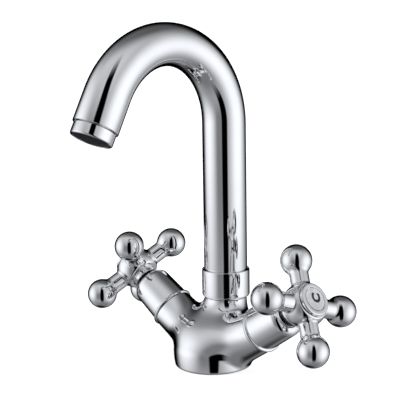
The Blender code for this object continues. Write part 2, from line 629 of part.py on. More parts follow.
def headwork():
    """Threaded skirt round the discs, flange, hexagon and neck in one turned piece."""
    foot = seal_bottom + SEAT_SEAL_THICKNESS / 2
    outline = [(cavity_radius, foot), (SKIRT_RADIUS, foot), (SKIRT_RADIUS, cavity_top),
               (THREAD_RADIUS, cavity_top), (THREAD_RADIUS, flange_bottom),
               (FLANGE_RADIUS, flange_bottom), (FLANGE_RADIUS, hex_bottom),
               (hex_corner, hex_bottom + GAP), (hex_corner, hex_top), (HEADWORK_NECK_RADIUS, hex_top + GAP),
               (HEADWORK_NECK_RADIUS, HEADWORK_TOP), (spindle_bore, HEADWORK_TOP),
               (spindle_bore, cavity_top), (cavity_radius, cavity_top)]
    work = turned(outline, MEDIUM)
    for corner in work.verts:
        if hex_bottom < corner.co.z <= hex_top and math.hypot(*corner.co.xy) > HEADWORK_NECK_RADIUS:
            angle = math.degrees(math.atan2(corner.co.y, corner.co.x)) % 60.0
            radius = HEX_ACROSS_FLATS / 2 / math.cos(math.radians(angle - 30.0))
            corner.co.xy = corner.co.xy.normalized() * radius
    return work


def openings(middle, inner, outer, bottom, top):
    """Two opposite sectors, the shape of a valve disc's ports; the middle of the first is in degrees."""
    work = bmesh.new()
    for half_turn in (0.0, 180.0):
        start = middle + half_turn - PORT_SPREAD
        end = middle + half_turn + PORT_SPREAD
        outline = rounded(0.0, 0.0, outer, start, end, 4) + rounded(0.0, 0.0, inner, end, start, 2)
        floor = work.faces.new([work.verts.new((across, up, bottom)) for across, up in outline])
        raised = bmesh.ops.extrude_face_region(work, geom=[floor])["geom"]
        bmesh.ops.translate(work, verts=[part for part in raised if isinstance(part, bmesh.types.BMVert)],
                            vec=(0.0, 0.0, top - bottom))
    return work


def spindle():
    """Driver plate, shaft with a ring groove, and end that the handle fits over, drilled for its screw."""
    deep = SPINDLE_RADIUS - SPINDLE_GROOVE_DEPTH
    half = SPINDLE_RING_WIDTH / 2 + GAP
    tapped = SCREW_RADIUS + GAP
    shoulder = HEADWORK_TOP + GAP
    outline = [(0.0, driver_bottom), (DISC_RADIUS, driver_bottom), (DISC_RADIUS, driver_top),
               (SPINDLE_RADIUS, driver_top), (SPINDLE_RADIUS, SPINDLE_RING_PLACE - half),
               (deep, SPINDLE_RING_PLACE - half), (deep, SPINDLE_RING_PLACE + half),
               (SPINDLE_RADIUS, SPINDLE_RING_PLACE + half), (SPINDLE_RADIUS, shoulder),
               (SPLINE_RADIUS, shoulder), (SPLINE_RADIUS, SPINDLE_TOP), (tapped, SPINDLE_TOP),
               (tapped, SPINDLE_TOP - SCREW_LENGTH), (0.0, SPINDLE_TOP - SCREW_LENGTH)]
    return turned(outline, COARSE)


def sleeve():
    """Tapered cover with a bead at the seam and a rounded top that closes on the headwork's neck."""
    start = washer_bottom
    straight_end = SLEEVE_TOP - SLEEVE_DOME
    opening = HEADWORK_NECK_RADIUS + GAP
    bead = BEAD_WIDTH / 2
    outline = [(SLEEVE_RADIUS - SLEEVE_WALL, start)]
    outline += rounded(BEAD_RADIUS - bead, start + bead, bead, -90, 90, 4)
    outline += [(SLEEVE_RADIUS, start + BEAD_WIDTH)]
    outline += rounded(SLEEVE_END_RADIUS - SLEEVE_DOME, straight_end, SLEEVE_DOME, 0, 90, 4)
    outline += [(opening, SLEEVE_TOP), (opening, SLEEVE_TOP - SLEEVE_WALL)]
    inside = rounded(SLEEVE_END_RADIUS - SLEEVE_DOME, straight_end, SLEEVE_DOME - SLEEVE_WALL, 90, 0, 3)
    return turned(outline + inside, MEDIUM)


# ---------------------------------------------------------------- handles


screw_seat = SPINDLE_TOP + GAP + HANDLE_WEB
hub_bore = SPLINE_RADIUS + GAP
head_space = SCREW_HEAD_RADIUS + GAP
skirt_floor = CAP_FACE - CAP_PLATE - CAP_SKIRT_DEPTH


def hub():
    """Bulb with a collar at the back and a flat front, bored for spindle, screw and cap."""
    screw_hole = SCREW_RADIUS + GAP
    cap_space = CAP_SKIRT_RADIUS + GAP
    outline = [(hub_bore, HUB_BACK), (HUB_COLLAR_RADIUS, HUB_BACK),
               (HUB_COLLAR_RADIUS, HUB_BACK + HUB_COLLAR_HEIGHT)]
    outline += rounded(0.0, HUB_PLACE, HUB_RADIUS, HUB_BACK_ANGLE, HUB_FACE_ANGLE, 7)
    outline += [(cap_space, HUB_FACE), (cap_space, skirt_floor - GAP), (head_space, skirt_floor - GAP),
                (head_space, screw_seat), (screw_hole, screw_seat), (screw_hole, SPINDLE_TOP + GAP),
                (hub_bore, SPINDLE_TOP + GAP)]
    return turned(outline, MEDIUM)


def spoke_and_ball(number):
    """One arm of the cross, turned about its own axis; its inner end lies inside the hub's wall."""
    inner = CAP_SKIRT_RADIUS + SPOKE_ROOT
    start = math.degrees(math.asin(SPOKE_RADIUS / BALL_RADIUS))
    outline = [(0.0, inner), (SPOKE_RADIUS, inner)]
    outline += rounded(0.0, BALL_CIRCLE, BALL_RADIUS, start - 90.0, 90.0, 6)
    outline[-1] = (0.0, BALL_CIRCLE + BALL_RADIUS)
    work = turned(outline, COARSE)
    place = (Matrix.Translation((0.0, 0.0, HUB_PLACE)) @ Matrix.Rotation(number * math.pi / 2, 4, "Z")
             @ Matrix.Rotation(math.pi / 2, 4, "Y"))
    bmesh.ops.transform(work, matrix=place, verts=work.verts)
    return work


def index_cap():
    """Cap with a rounded edge, a pocket for the index disc and a skirt that clips in the hub."""
    top = CAP_FACE
    bottom = HUB_FACE + GAP
    pocket = INDEX_RADIUS + GAP
    pocket_floor = top - INDEX_THICKNESS - GAP
    outline = [(0.0, pocket_floor), (pocket, pocket_floor), (pocket, top)]
    outline += reversed(rounded(CAP_RADIUS - CAP_EDGE, top - CAP_EDGE, CAP_EDGE, 0, 90, 3))
    outline += [(CAP_RADIUS, bottom), (CAP_SKIRT_RADIUS, bottom), (CAP_SKIRT_RADIUS, skirt_floor),
                (CAP_SKIRT_RADIUS - CAP_SKIRT_WALL, skirt_floor),
                (CAP_SKIRT_RADIUS - CAP_SKIRT_WALL, bottom - CAP_RECESS), (0.0, bottom - CAP_RECESS)]
    return turned(outline, MEDIUM)


def handle_screw():
    """Pan head with a socket, and its shank."""
    top = screw_seat + GAP + SCREW_HEAD_HEIGHT
    key_floor = top - SCREW_HEAD_HEIGHT / 2
    outline = [(0.0, key_floor), (SCREW_KEY_RADIUS, key_floor), (SCREW_KEY_RADIUS, top),
               (SCREW_HEAD_RADIUS, top), (SCREW_HEAD_RADIUS, screw_seat + GAP),
               (SCREW_RADIUS, screw_seat + GAP), (SCREW_RADIUS, SPINDLE_TOP - SCREW_LENGTH + GAP),
               (0.0, SPINDLE_TOP - SCREW_LENGTH + GAP)]
    return turned(outline, COARSE)


for side_name, axis in arm_axes.items():
    turn = handle_turns[side_name]
    headwork_body = piece(side_name + "_headwork_body", headwork(), axis, BRASS)
    cut(headwork_body, cutter(side_name + "_headwork_windows",
                              openings(0.0, DISC_RADIUS, THREAD_RADIUS, driver_bottom, driver_top), axis))
    piece(side_name + "_headwork_washer",
          ring(THREAD_RADIUS + GAP, FLANGE_RADIUS, washer_bottom, washer_bottom + FIBRE_WASHER, MEDIUM),
          axis, FIBRE)
    piece(side_name + "_seat_seal",
          ring(SEAT_PORT_RADIUS, DISC_RADIUS, seal_bottom, seal_bottom + SEAT_SEAL_THICKNESS, COARSE),
          axis, RUBBER)
    fixed_top = fixed_bottom + DISC_THICKNESS
    fixed_disc = piece(side_name + "_fixed_disc", disc(DISC_RADIUS, fixed_bottom, fixed_top), axis, CERAMIC)
    cut(fixed_disc, cutter(side_name + "_fixed_ports", openings(
        0.0, PORT_INNER_RADIUS, PORT_OUTER_RADIUS, fixed_bottom - OVERCUT, fixed_top + OVERCUT), axis))
    piece(side_name + "_sleeve", sleeve(), axis, CHROME)

    # Shut: the moving disc's openings and the notches of its driving plate lie across the fixed ones.
    moving_top = moving_bottom + DISC_THICKNESS
    moving_disc = piece(side_name + "_moving_disc", disc(DISC_RADIUS, moving_bottom, moving_top),
                        axis, CERAMIC)
    cut(moving_disc, cutter(side_name + "_moving_ports", openings(
        90.0, PORT_INNER_RADIUS, PORT_OUTER_RADIUS, moving_bottom - OVERCUT, moving_top + OVERCUT), axis))
    spindle_piece = piece(side_name + "_spindle", spindle(), axis, BRASS)
    cut(spindle_piece, cutter(side_name + "_driver_notches", openings(
        90.0, PORT_INNER_RADIUS, DISC_RADIUS + OVERCUT, driver_bottom - OVERCUT, driver_top), axis))
    spindle_ring = o_ring(SPINDLE_RADIUS - SPINDLE_GROOVE_DEPTH + GAP / 2, spindle_bore - GAP / 2,
                          SPINDLE_RING_PLACE, SPINDLE_RING_WIDTH, COARSE)
    piece(side_name + "_spindle_o_ring", spindle_ring, axis, RUBBER)
    handle = piece(side_name + "_cross_handle", hub(), axis, CHROME, turn=turn)
    for number in range(4):
        cut(handle, cutter(side_name + "_spoke_" + str(number), spoke_and_ball(number), handle), "UNION")
    piece(side_name + "_handle_screw", handle_screw(), axis, STEEL, turn=turn)
    piece(side_name + "_index_cap", index_cap(), axis, CHROME, turn=turn)
    piece(side_name + "_index_disc", disc(INDEX_RADIUS, CAP_FACE - INDEX_THICKNESS, CAP_FACE), axis, SATIN,
          turn=turn)
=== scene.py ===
"""Two-handle basin mixer with a swivel gooseneck spout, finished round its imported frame.

Metres, +Z up, standing on the floor at the origin. The spout points to -Y, the cold handle to +X
and the hot handle to -X. Each section makes one piece, or one group of like pieces.
"""

import json
import math

import bmesh
import bpy
import numpy as np
from mathutils import Matrix, Vector


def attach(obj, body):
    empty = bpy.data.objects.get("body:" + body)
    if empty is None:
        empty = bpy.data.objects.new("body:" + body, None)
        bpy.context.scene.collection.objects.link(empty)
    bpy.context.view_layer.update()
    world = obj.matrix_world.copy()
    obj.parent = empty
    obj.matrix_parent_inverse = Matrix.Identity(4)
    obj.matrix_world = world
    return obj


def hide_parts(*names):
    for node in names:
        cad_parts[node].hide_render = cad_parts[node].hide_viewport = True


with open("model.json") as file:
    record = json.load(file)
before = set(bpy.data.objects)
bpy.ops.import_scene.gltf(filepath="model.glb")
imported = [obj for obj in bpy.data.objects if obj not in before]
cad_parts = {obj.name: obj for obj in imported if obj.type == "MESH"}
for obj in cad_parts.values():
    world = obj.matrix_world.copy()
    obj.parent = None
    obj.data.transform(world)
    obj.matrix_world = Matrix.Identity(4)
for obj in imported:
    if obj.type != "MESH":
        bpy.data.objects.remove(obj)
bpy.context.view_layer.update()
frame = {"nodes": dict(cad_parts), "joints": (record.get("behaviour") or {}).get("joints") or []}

# ---------------------------------------------------------------- camera, floor and light
# A long lens looks down a little on the tap, from well round to its cold side. The tap stands on
# a plain pale floor. Two large round soft boxes light it, one on each side of the camera, with a
# dark slot between them that draws the dark line down each polished piece.

CAMERA_TURN = math.radians(43.94)        # from straight in front, towards the cold handle
CAMERA_REACH = 0.6690                    # level distance from the origin
CAMERA_HEIGHT = 0.2181
camera_place = Vector((CAMERA_REACH * math.sin(CAMERA_TURN), -CAMERA_REACH * math.cos(CAMERA_TURN),
                       CAMERA_HEIGHT))
look_turn = CAMERA_TURN + math.radians(0.53)
look_down = math.radians(10.26)
look_roll = math.radians(-0.94)
look = Vector((-math.sin(look_turn) * math.cos(look_down),
               math.cos(look_turn) * math.cos(look_down), -math.sin(look_down)))
level_right = look.cross(Vector((0.0, 0.0, 1.0))).normalized()
level_up = level_right.cross(look)
camera_right = level_right * math.cos(look_roll) + level_up * math.sin(look_roll)
camera_up = level_up * math.cos(look_roll) - level_right * math.sin(look_roll)
lens = bpy.data.cameras.new("camera")
lens.lens = 107.63
lens.sensor_width = 36.0
camera = bpy.data.objects.new("camera", lens)
camera.matrix_world = (Matrix.Translation(camera_place)
                       @ Matrix((camera_right, camera_up, -look)).transposed().to_4x4())
bpy.context.scene.collection.objects.link(camera)
bpy.context.scene.camera = camera
bpy.context.scene.view_settings.view_transform = "Standard"
bpy.context.scene.view_settings.look = "None"


class Shade:
    """One output of a shader node. Arithmetic on shades adds Math nodes to the same tree."""

    def __init__(self, tree, socket=None):
        self.tree = tree
        self.socket = socket

    def node(self, kind, settings=None, output=0, **sockets):
        """Add a node: its settings, then values or links for its sockets. s0 is the first one."""
        new = self.tree.nodes.new("ShaderNode" + kind)
        for name, value in (settings or {}).items():
            setattr(new, name, value)
        for name, value in sockets.items():
            numbered = name[0] == "s" and name[1:].isdigit()
            key = int(name[1:]) if numbered else name.replace("_", " ")
            if isinstance(value, Shade):
                self.tree.links.new(value.socket, new.inputs[key])
            else:
                new.inputs[key].default_value = value
        return Shade(self.tree, new.outputs[output])

    def calc(self, operation, first, second=0.0):
        return self.node("Math", {"operation": operation}, s0=first, s1=second)

    def __add__(self, other):
        return self.calc("ADD", self, other)

    def __radd__(self, other):
        return self.calc("ADD", other, self)

    def __sub__(self, other):
        return self.calc("SUBTRACT", self, other)

    def __rsub__(self, other):
        return self.calc("SUBTRACT", other, self)

    def __mul__(self, other):
        return self.calc("MULTIPLY", self, other)

    def __rmul__(self, other):
        return self.calc("MULTIPLY", other, self)

    def __abs__(self):
        return self.calc("ABSOLUTE", self)

    def soft(self, start, end):
        """0 at start and 1 at end, eased at both ends."""
        return self.node("MapRange", {"interpolation_type": "SMOOTHSTEP"}, Value=self,
                         From_Min=start, From_Max=end)

    def mix(self, first, second):
        """The first colour where this is 0 and the second where it is 1."""
        return self.node("Mix", {"data_type": "RGBA"}, output="Result", Factor=self,
                         s6=first, s7=second)

    def dot(self, direction):
        return self.node("VectorMath", {"operation": "DOT_PRODUCT"}, output="Value", s0=self,
                         s1=direction)


def towards(turn, rise):
    """Direction from the tap, so far round from the camera to its right and so far above level."""
    turn = CAMERA_TURN + math.radians(turn)
    rise = math.radians(rise)
    return Vector((math.sin(turn) * math.cos(rise), -math.cos(turn) * math.cos(rise),
                   math.sin(rise)))


room = bpy.data.worlds.new("studio")
bpy.context.scene.world = room
room.use_nodes = True
room.node_tree.nodes.clear()
studio = Shade(room.node_tree)
ray = studio.node("TexCoord", output="Generated")


def facing(direction):
    """How far a ray is from a direction, in degrees."""
    return studio.calc("ARCCOSINE", ray.dot(direction)) * math.degrees(1.0)


def patch(turn, rise, start, end):
    """A round patch of the room: 0 at the start angle from its middle, eased to 1 at the end."""
    return facing(towards(turn, rise)).soft(start, end)


# Bright patches: the two boxes, then fainter light from the right, overhead and high on the left.
left_box = patch(-87.0, 2.0, 56.0, 6.0)
right_box = patch(75.0, -6.0, 60.0, 8.0)
right_fill = patch(45.0, 20.0, 80.0, 25.0)
top_fill = patch(-12.0, 62.0, 52.0, 14.0)
left_fill = patch(-108.0, 45.0, 60.0, 15.0)

# Dim patches: just left of the camera, and high up behind the tap.
left_shade = patch(-24.0, -8.0, 38.0, 8.0)
high_shade = patch(176.0, 51.0, 56.0, 18.0)

# 0 on the black screens that stand behind the tap, and 1 away from them.
off_screens = (patch(187.0, -4.0, 33.0, 63.0) * patch(200.0, -64.0, 6.0, 26.0)
               * patch(152.0, 12.0, 12.0, 36.0))

# 1 in the upright dark slot, which is nearly in line with the camera.
SLOT_BEARING = 2.0                       # degrees to the right of the camera
SLOT_RISE = 4.0                          # degrees above level
bearing = studio.calc("ARCTAN2", ray.dot(towards(90.0, 0.0)), ray.dot(towards(0.0, 0.0)))
bearing = bearing * math.degrees(1.0)
below_level = facing(Vector((0.0, 0.0, 1.0))) - 90.0
slot = ((1.0 - abs(bearing - SLOT_BEARING).soft(11.5, 18.0))
        * (1.0 - abs(below_level + SLOT_RISE).soft(42.0, 76.0)))

BOX_GLOW = 0.97
WALL_GLOW = 0.31
FLOOR_GLOW = 0.55                        # of what the room would give there
PALE = (0.97, 0.97, 0.97, 1.0)           # what the camera itself sees of the room and the floor
walls = ((WALL_GLOW + top_fill * 0.15 + right_fill * 0.12 + left_fill * 0.14)
         * (1.0 - left_shade * 0.42) * (1.0 - high_shade * 0.72))
glow = walls + (BOX_GLOW - walls) * studio.calc("MAXIMUM", left_box, right_box)
glow = glow * (1.0 - slot) * off_screens
off_floor = facing(Vector((0.0, 0.0, -1.0))).soft(14.0, 46.0)
glow = glow * (FLOOR_GLOW + off_floor * (1.0 - FLOOR_GLOW))
tint = studio.node("CombineColor", Red=glow * 0.97, Green=glow * 0.985, Blue=glow * 1.02)
shown = studio.node("LightPath", output="Is Camera Ray")
backdrop = studio.node("Background", Color=shown.mix(tint, PALE), Strength=1.12)
world_output = room.node_tree.nodes.new("ShaderNodeOutputWorld")
room.node_tree.links.new(backdrop.socket, world_output.inputs["Surface"])

floor_mesh = bpy.data.meshes.new("floor")
floor_builder = bmesh.new()
bmesh.ops.create_grid(floor_builder, x_segments=1, y_segments=1, size=40.0)
floor_builder.to_mesh(floor_mesh)
floor_builder.free()
floor = bpy.data.objects.new("floor", floor_mesh)
bpy.context.scene.collection.objects.link(floor)
floor.visible_glossy = False
floor.visible_diffuse = False
floor_paint = bpy.data.materials.new("pale_floor")
floor_paint.use_nodes = True
floor_look = floor_paint.node_tree.nodes["Principled BSDF"]
floor_look.inputs["Base Color"].default_value = (0.85, 0.85, 0.85, 1.0)
floor_look.inputs["Emission Color"].default_value = PALE
floor_look.inputs["Emission Strength"].default_value = 0.66
floor_look.inputs["Roughness"].default_value = 0.9
floor_look.inputs["Specular IOR Level"].default_value = 0.0
floor_mesh.materials.append(floor_paint)

sky = bpy.data.lights.new("overhead_soft_light", "SUN")
sky.energy = 1.3
sky.angle = math.radians(110.0)
overhead = bpy.data.objects.new("overhead_soft_light", sky)
overhead.visible_glossy = False
bpy.context.scene.collection.objects.link(overhead)

# ---------------------------------------------------------------- body casting
# One hollow brass casting, polished and plated: a round base that domes over, a neck for the
# spout and two arms for the valves, run together in soft hollows. The flat ends are turned.

MM = 0.001
Z_WAY = Vector((0.0, 0.0, 1.0))
ARM_RADIUS = 12.7 * MM
ARM_END = 41.1 * MM
NECK_RADIUS = 12.0 * MM
NECK_TOP = 38.5 * MM
BASE_RADIUS = 22.9 * MM
BASE_SHOULDER = 9.0 * MM
BASE_DOME = 17.0 * MM
BASE_TUCK = 0.9 * MM                     # drawn in towards the foot
FOOT_EDGE = 1.6 * MM                     # softening of the edge on the basin
NECK_FOOT = 7.5 * MM                     # where the neck starts inside the base
ARM_HOLLOW = 18.0 * MM                   # widths of the hollows that run the lumps together
NECK_HOLLOW = 12.0 * MM
BASE_HOLLOW = 1.2 * MM                   # at its foot
BASE_HOLLOW_GROWTH = 16.0 * MM           # from there to the top of the dome
BASE_HOLLOW_FOOT = 3.5 * MM
CASTING_GRAIN = 0.75 * MM                # of the first, rough mesh

joints = {joint["name"]: joint for joint in frame["joints"]}


def arm_place(joint):
    """Frame of an arm: local Z out along it, local X its upward side."""
    out = Vector(joint["axis"]).normalized()
    up = (Z_WAY - out * out.z).normalized()
    turn = Matrix((up, out.cross(up), out)).transposed().to_4x4()
    return Matrix.Translation(Vector(joint["pos_m"])) @ turn


arms = {"cold": arm_place(joints["cold_turn"]), "hot": arm_place(joints["hot_turn"])}
spout_place = Matrix.Translation(Vector(joints["spout_swivel"]["pos_m"]))


def blend(first, second, width):
    """Two skins run together with a fillet of about this width."""
    overlap = np.maximum(width - np.abs(first - second), 0.0) / width
    return np.minimum(first, second) - overlap * overlap * width / 4


def body_skin(points):
    """Distance outside the casting's skin. Arms and neck run on past their flat ends."""
    height = points[:, 2]
    sides = []
    for place in arms.values():
        out = np.array(place.col[2][:3])
        local = points - np.array(place.translation)
        along = np.clip(local @ out, 0.0, None)
        sides.append(np.linalg.norm(local - along[:, None] * out, axis=1) - ARM_RADIUS)
    neck = np.hypot(points[:, 0], points[:, 1] - spout_place.translation.y) - NECK_RADIUS
    neck = np.maximum(neck, NECK_FOOT - height)
    above = np.maximum(height - BASE_SHOULDER, 0.0) / BASE_DOME
    below = np.clip(1.0 - height / BASE_SHOULDER, 0.0, 1.0)
    round_base = BASE_RADIUS - BASE_TUCK * below ** 2
    across = np.hypot(points[:, 0], points[:, 1]) / round_base
    base = (np.hypot(across, above) - 1.0) * BASE_DOME
    skin = blend(blend(sides[0], sides[1], ARM_HOLLOW), neck, NECK_HOLLOW)
    dome_top = BASE_SHOULDER + BASE_DOME
    rise = np.clip((height - BASE_HOLLOW_FOOT) / (dome_top - BASE_HOLLOW_FOOT), 0.0, 1.0)
    eased = rise * rise * (3.0 - 2.0 * rise)
    skin = blend(skin, base, BASE_HOLLOW + BASE_HOLLOW_GROWTH * eased)
    return -blend(-skin, height, FOOT_EDGE)


def slope(skin, points):
    """Direction in which the distance grows fastest, and how fast."""
    step = 0.02 * MM
    return np.stack([(skin(points + offset) - skin(points - offset)) / (2 * step)
                     for offset in np.eye(3) * step], axis=1)


def corners_of(builder):
    return np.array([tuple(corner.co) for corner in builder.verts])


def cast(rough, skin, grain):
    """Remesh rough overlapping lumps, then settle every point on the smooth skin.

    Each round evens the points out and then walks them back to the skin in a few short steps.
    """
    mesh = bpy.data.meshes.new("rough")
    rough.to_mesh(mesh)
    rough.free()
    carrier = bpy.data.objects.new("rough", mesh)
    bpy.context.scene.collection.objects.link(carrier)
    remesh = carrier.modifiers.new("remesh", "REMESH")
    remesh.mode = "VOXEL"
    remesh.voxel_size = grain
    evaluated = carrier.evaluated_get(bpy.context.evaluated_depsgraph_get())
    builder = bmesh.new()
    builder.from_mesh(evaluated.to_mesh())
    evaluated.to_mesh_clear()
    bpy.data.objects.remove(carrier)
    for _ in range(3):
        bmesh.ops.smooth_vert(builder, verts=builder.verts, factor=0.5, use_axis_x=True,
                              use_axis_y=True, use_axis_z=True)
        points = corners_of(builder)
        for _ in range(4):
            way = slope(skin, points)
            size = np.maximum((way * way).sum(axis=1), 0.05)
            points = points - way * (np.clip(skin(points), -MM, MM) / size)[:, None]
        for corner, point in zip(builder.verts, points):
            corner.co = point
    return builder


def face_off(builder, point, normal):
    """Turn an end flat: everything beyond the plane goes, and one face closes it."""
    everything = builder.verts[:] + builder.edges[:] + builder.faces[:]
    found = bmesh.ops.bisect_plane(builder, geom=everything, dist=1e-7, plane_co=point,
                                   plane_no=normal, clear_outer=True)
    rim = [part for part in found["geom_cut"] if isinstance(part, bmesh.types.BMEdge)]
    bmesh.ops.edgeloop_fill(builder, edges=rim)


def turned(outline, facets=96):
    """A lathe: a closed outline of (radius, height) points spun once round Z."""
    builder = bmesh.new()
    corners = [builder.verts.new((radius, 0.0, height)) for radius, height in outline]
    edges = [builder.edges.new(pair) for pair in zip(corners, corners[1:] + corners[:1])
             if pair[0].co.x > 0.0 or pair[1].co.x > 0.0]
    bmesh.ops.spin(builder, geom=corners + edges, cent=(0, 0, 0), axis=(0, 0, 1),
                   angle=2 * math.pi, steps=facets, use_merge=True)
    bmesh.ops.remove_doubles(builder, verts=builder.verts, dist=1e-7)
    bmesh.ops.recalc_face_normals(builder, faces=builder.faces)
    return builder


def moved(builder, place):
    bmesh.ops.transform(builder, matrix=place, verts=builder.verts)
    return builder


def joined(builders):
    """Several separate lumps in one mesh."""
    whole = bmesh.new()
    for builder in builders:
        part = bpy.data.meshes.new("lump")
        builder.to_mesh(part)
        builder.free()
        whole.from_mesh(part)
        bpy.data.meshes.remove(part)
    return whole


def piece(name, builder, sharp=32.0):
    """An object at the origin, smooth but for edges sharper than the given angle."""
    mesh = bpy.data.meshes.new(name)
    builder.to_mesh(mesh)
    builder.free()
    mesh.shade_smooth()
    mesh.set_sharp_from_angle(angle=math.radians(sharp))
    new = bpy.data.objects.new(name, mesh)
    bpy.context.scene.collection.objects.link(new)
    return new


def bored(target, builder):
    """Cut lumps out of a piece and keep the result as its mesh."""
    tool = piece("tool", builder)
    cut = target.modifiers.new("cut", "BOOLEAN")
    cut.solver = "EXACT"
    cut.object = tool
    evaluated = target.evaluated_get(bpy.context.evaluated_depsgraph_get())
    result = bpy.data.meshes.new_from_object(evaluated)
    target.modifiers.clear()
    old = target.data
    target.data = result
    result.name = old.name
    bpy.data.meshes.remove(old)
    bpy.data.objects.remove(tool)


def polish(target, skin, place):
    """Give the cast skin its exact normals, so that a mirror finish has no ripples."""
    mesh = target.data
    points = np.empty(len(mesh.vertices) * 3)
    mesh.vertices.foreach_get("co", points)
    points = points.reshape(-1, 3)
    back = np.array(place.inverted())
    local = points @ back[:3, :3].T + back[:3, 3]
    way = slope(skin, local)
    way /= np.maximum(np.linalg.norm(way, axis=1), 1e-9)[:, None]
    way = way @ np.array(place)[:3, :3].T
    on_skin = np.abs(skin(local)) < 0.004 * MM
    corners = np.empty(len(mesh.loops), dtype=np.int32)
    mesh.loops.foreach_get("vertex_index", corners)
    faces = np.repeat(np.arange(len(mesh.polygons)), [face.loop_total for face in mesh.polygons])
    flats = np.empty(len(mesh.polygons) * 3)
    mesh.polygons.foreach_get("normal", flats)
    flats = flats.reshape(-1, 3)[faces]
    with_face = (flats * way[corners]).sum(axis=1) > 0.9
    good = on_skin[corners] & with_face
    mesh.normals_split_custom_set(np.where(good[:, None], way[corners], 0.0))


def rod(radius, start, end, place, facets=64):
    """A plain closed rod along local Z."""
    middle = place @ Matrix.Translation((0.0, 0.0, (start + end) / 2))
    builder = bmesh.new()
    bmesh.ops.create_cone(builder, cap_ends=True, segments=facets, radius1=radius, radius2=radius,
                          depth=end - start, matrix=middle)
    return builder


OVERRUN = 5.0 * MM                       # how far lumps and cutters run past a face
lumps = [rod(ARM_RADIUS, 0.0, ARM_END + OVERRUN, place) for place in arms.values()]
lumps.append(rod(NECK_RADIUS, 0.0, NECK_TOP + OVERRUN, spout_place))
lumps.append(rod(BASE_RADIUS, 0.0, BASE_SHOULDER + BASE_DOME / 2, Matrix.Identity(4), 128))
casting = cast(joined(lumps), body_skin, CASTING_GRAIN)
for place in arms.values():
    face_off(casting, place @ Vector((0.0, 0.0, ARM_END)), place.to_3x3() @ Z_WAY)
face_off(casting, Vector((0.0, 0.0, NECK_TOP)), Z_WAY)
body_casting = piece("tap_body", casting, 40.0)

VALVE_BORE_RADIUS = 9.5 * MM
VALVE_BORE_FOOT = 25.5 * MM
SOCKET_RADIUS = 9.4 * MM                 # the spigot turns in it
SOCKET_FOOT = 15.0 * MM
WASHER_SEAT_RADIUS = 10.9 * MM
WASHER_SEAT_FOOT = 37.1 * MM
SOCKET_END = 44.0 * MM                   # past the neck's top
HOLE_END = 12.0 * MM                     # the holes underneath stop here
INLET_RADIUS = 4.7 * MM
INLET_SPREAD = 12.5 * MM
INLET_BACK = 2.6 * MM
STUD_HOLE_RADIUS = 4.0 * MM
STUD_HOLE_FRONT = 12.9 * MM
SEAL_GROOVE_INNER = 18.3 * MM
SEAL_GROOVE_OUTER = 20.9 * MM
SEAL_GROOVE_DEPTH = 2.1 * MM
GRUB_HEIGHT = 22.5 * MM
GRUB_BORE_RADIUS = 2.7 * MM
GRUB_BORE_END = 22.0 * MM

bores = [rod(VALVE_BORE_RADIUS, VALVE_BORE_FOOT, ARM_END + OVERRUN, place)
         for place in arms.values()]
bores.append(moved(turned([(0.0, SOCKET_FOOT), (SOCKET_RADIUS, SOCKET_FOOT),
                           (SOCKET_RADIUS, WASHER_SEAT_FOOT),
                           (WASHER_SEAT_RADIUS, WASHER_SEAT_FOOT),
                           (WASHER_SEAT_RADIUS, SOCKET_END), (0.0, SOCKET_END)], 64), spout_place))
for side in (1.0, -1.0):
    inlet_place = Matrix.Translation((side * INLET_SPREAD, INLET_BACK, 0.0))
    bores.append(rod(INLET_RADIUS, -OVERRUN, HOLE_END, inlet_place, 48))
stud_place = Matrix.Translation((0.0, -STUD_HOLE_FRONT, 0.0))
bores.append(rod(STUD_HOLE_RADIUS, -OVERRUN, HOLE_END, stud_place, 48))
bores.append(turned([(SEAL_GROOVE_INNER, -OVERRUN), (SEAL_GROOVE_OUTER, -OVERRUN),
                     (SEAL_GROOVE_OUTER, SEAL_GROOVE_DEPTH),
                     (SEAL_GROOVE_INNER, SEAL_GROOVE_DEPTH)]))
grub_place = (Matrix.Translation((0.0, spout_place.translation.y, GRUB_HEIGHT))
              @ Matrix.Rotation(math.radians(-90), 4, "X"))
bores.append(rod(GRUB_BORE_RADIUS, SOCKET_RADIUS + 0.2 * MM, GRUB_BORE_END, grub_place, 32))
bored(body_casting, joined(bores))
polish(body_casting, body_skin, Matrix.Identity(4))


def finish(name, colour, metallic, roughness):
    """A Principled finish, and the shade that its nodes grow from."""
    material = bpy.data.materials.new(name)
    material.use_nodes = True
    shader = material.node_tree.nodes["Principled BSDF"]
    shader.inputs["Base Color"].default_value = (*colour, 1.0)
    shader.inputs["Metallic"].default_value = metallic
    shader.inputs["Roughness"].default_value = roughness
    return material, shader, Shade(material.node_tree)


def feed(shader, name, shade):
    shade.tree.links.new(shade.socket, shader.inputs[name])


CHROME = (0.93, 0.935, 0.945)
DULL_CHROME = (0.89, 0.897, 0.91)
CHROME_HAZE = 0.03


def plated(name):
    """Bright chrome plate: a mirror with faint wiping marks, thin haze and a trace of swell."""
    material, shader, shade = finish(name, CHROME, 1.0, CHROME_HAZE)
    place = shade.node("TexCoord", output="Object")
    cloud = shade.node("TexNoise", Vector=place, Scale=55.0, Detail=3.0, Roughness=0.55)
    wiped = shade.node("Mapping", Vector=place, Scale=(260.0, 260.0, 900.0),
                       Rotation=(0.5, 0.3, 0.2))
    streak = shade.node("TexNoise", Vector=wiped, Scale=1.0, Detail=2.0, Roughness=0.6)
    feed(shader, "Roughness",
         CHROME_HAZE + cloud.soft(0.45, 0.75) * 0.035 + streak.soft(0.55, 0.8) * 0.02)
    feed(shader, "Base Color", cloud.soft(0.35, 0.8).mix((*CHROME, 1.0), (*DULL_CHROME, 1.0)))
    swell = shade.node("TexNoise", Vector=place, Scale=90.0, Detail=1.0, Roughness=0.4)
    feed(shader, "Normal", shade.node("Bump", Strength=0.02, Distance=0.6 * MM, Height=swell))
    return material


chrome = plated("bright_chrome")


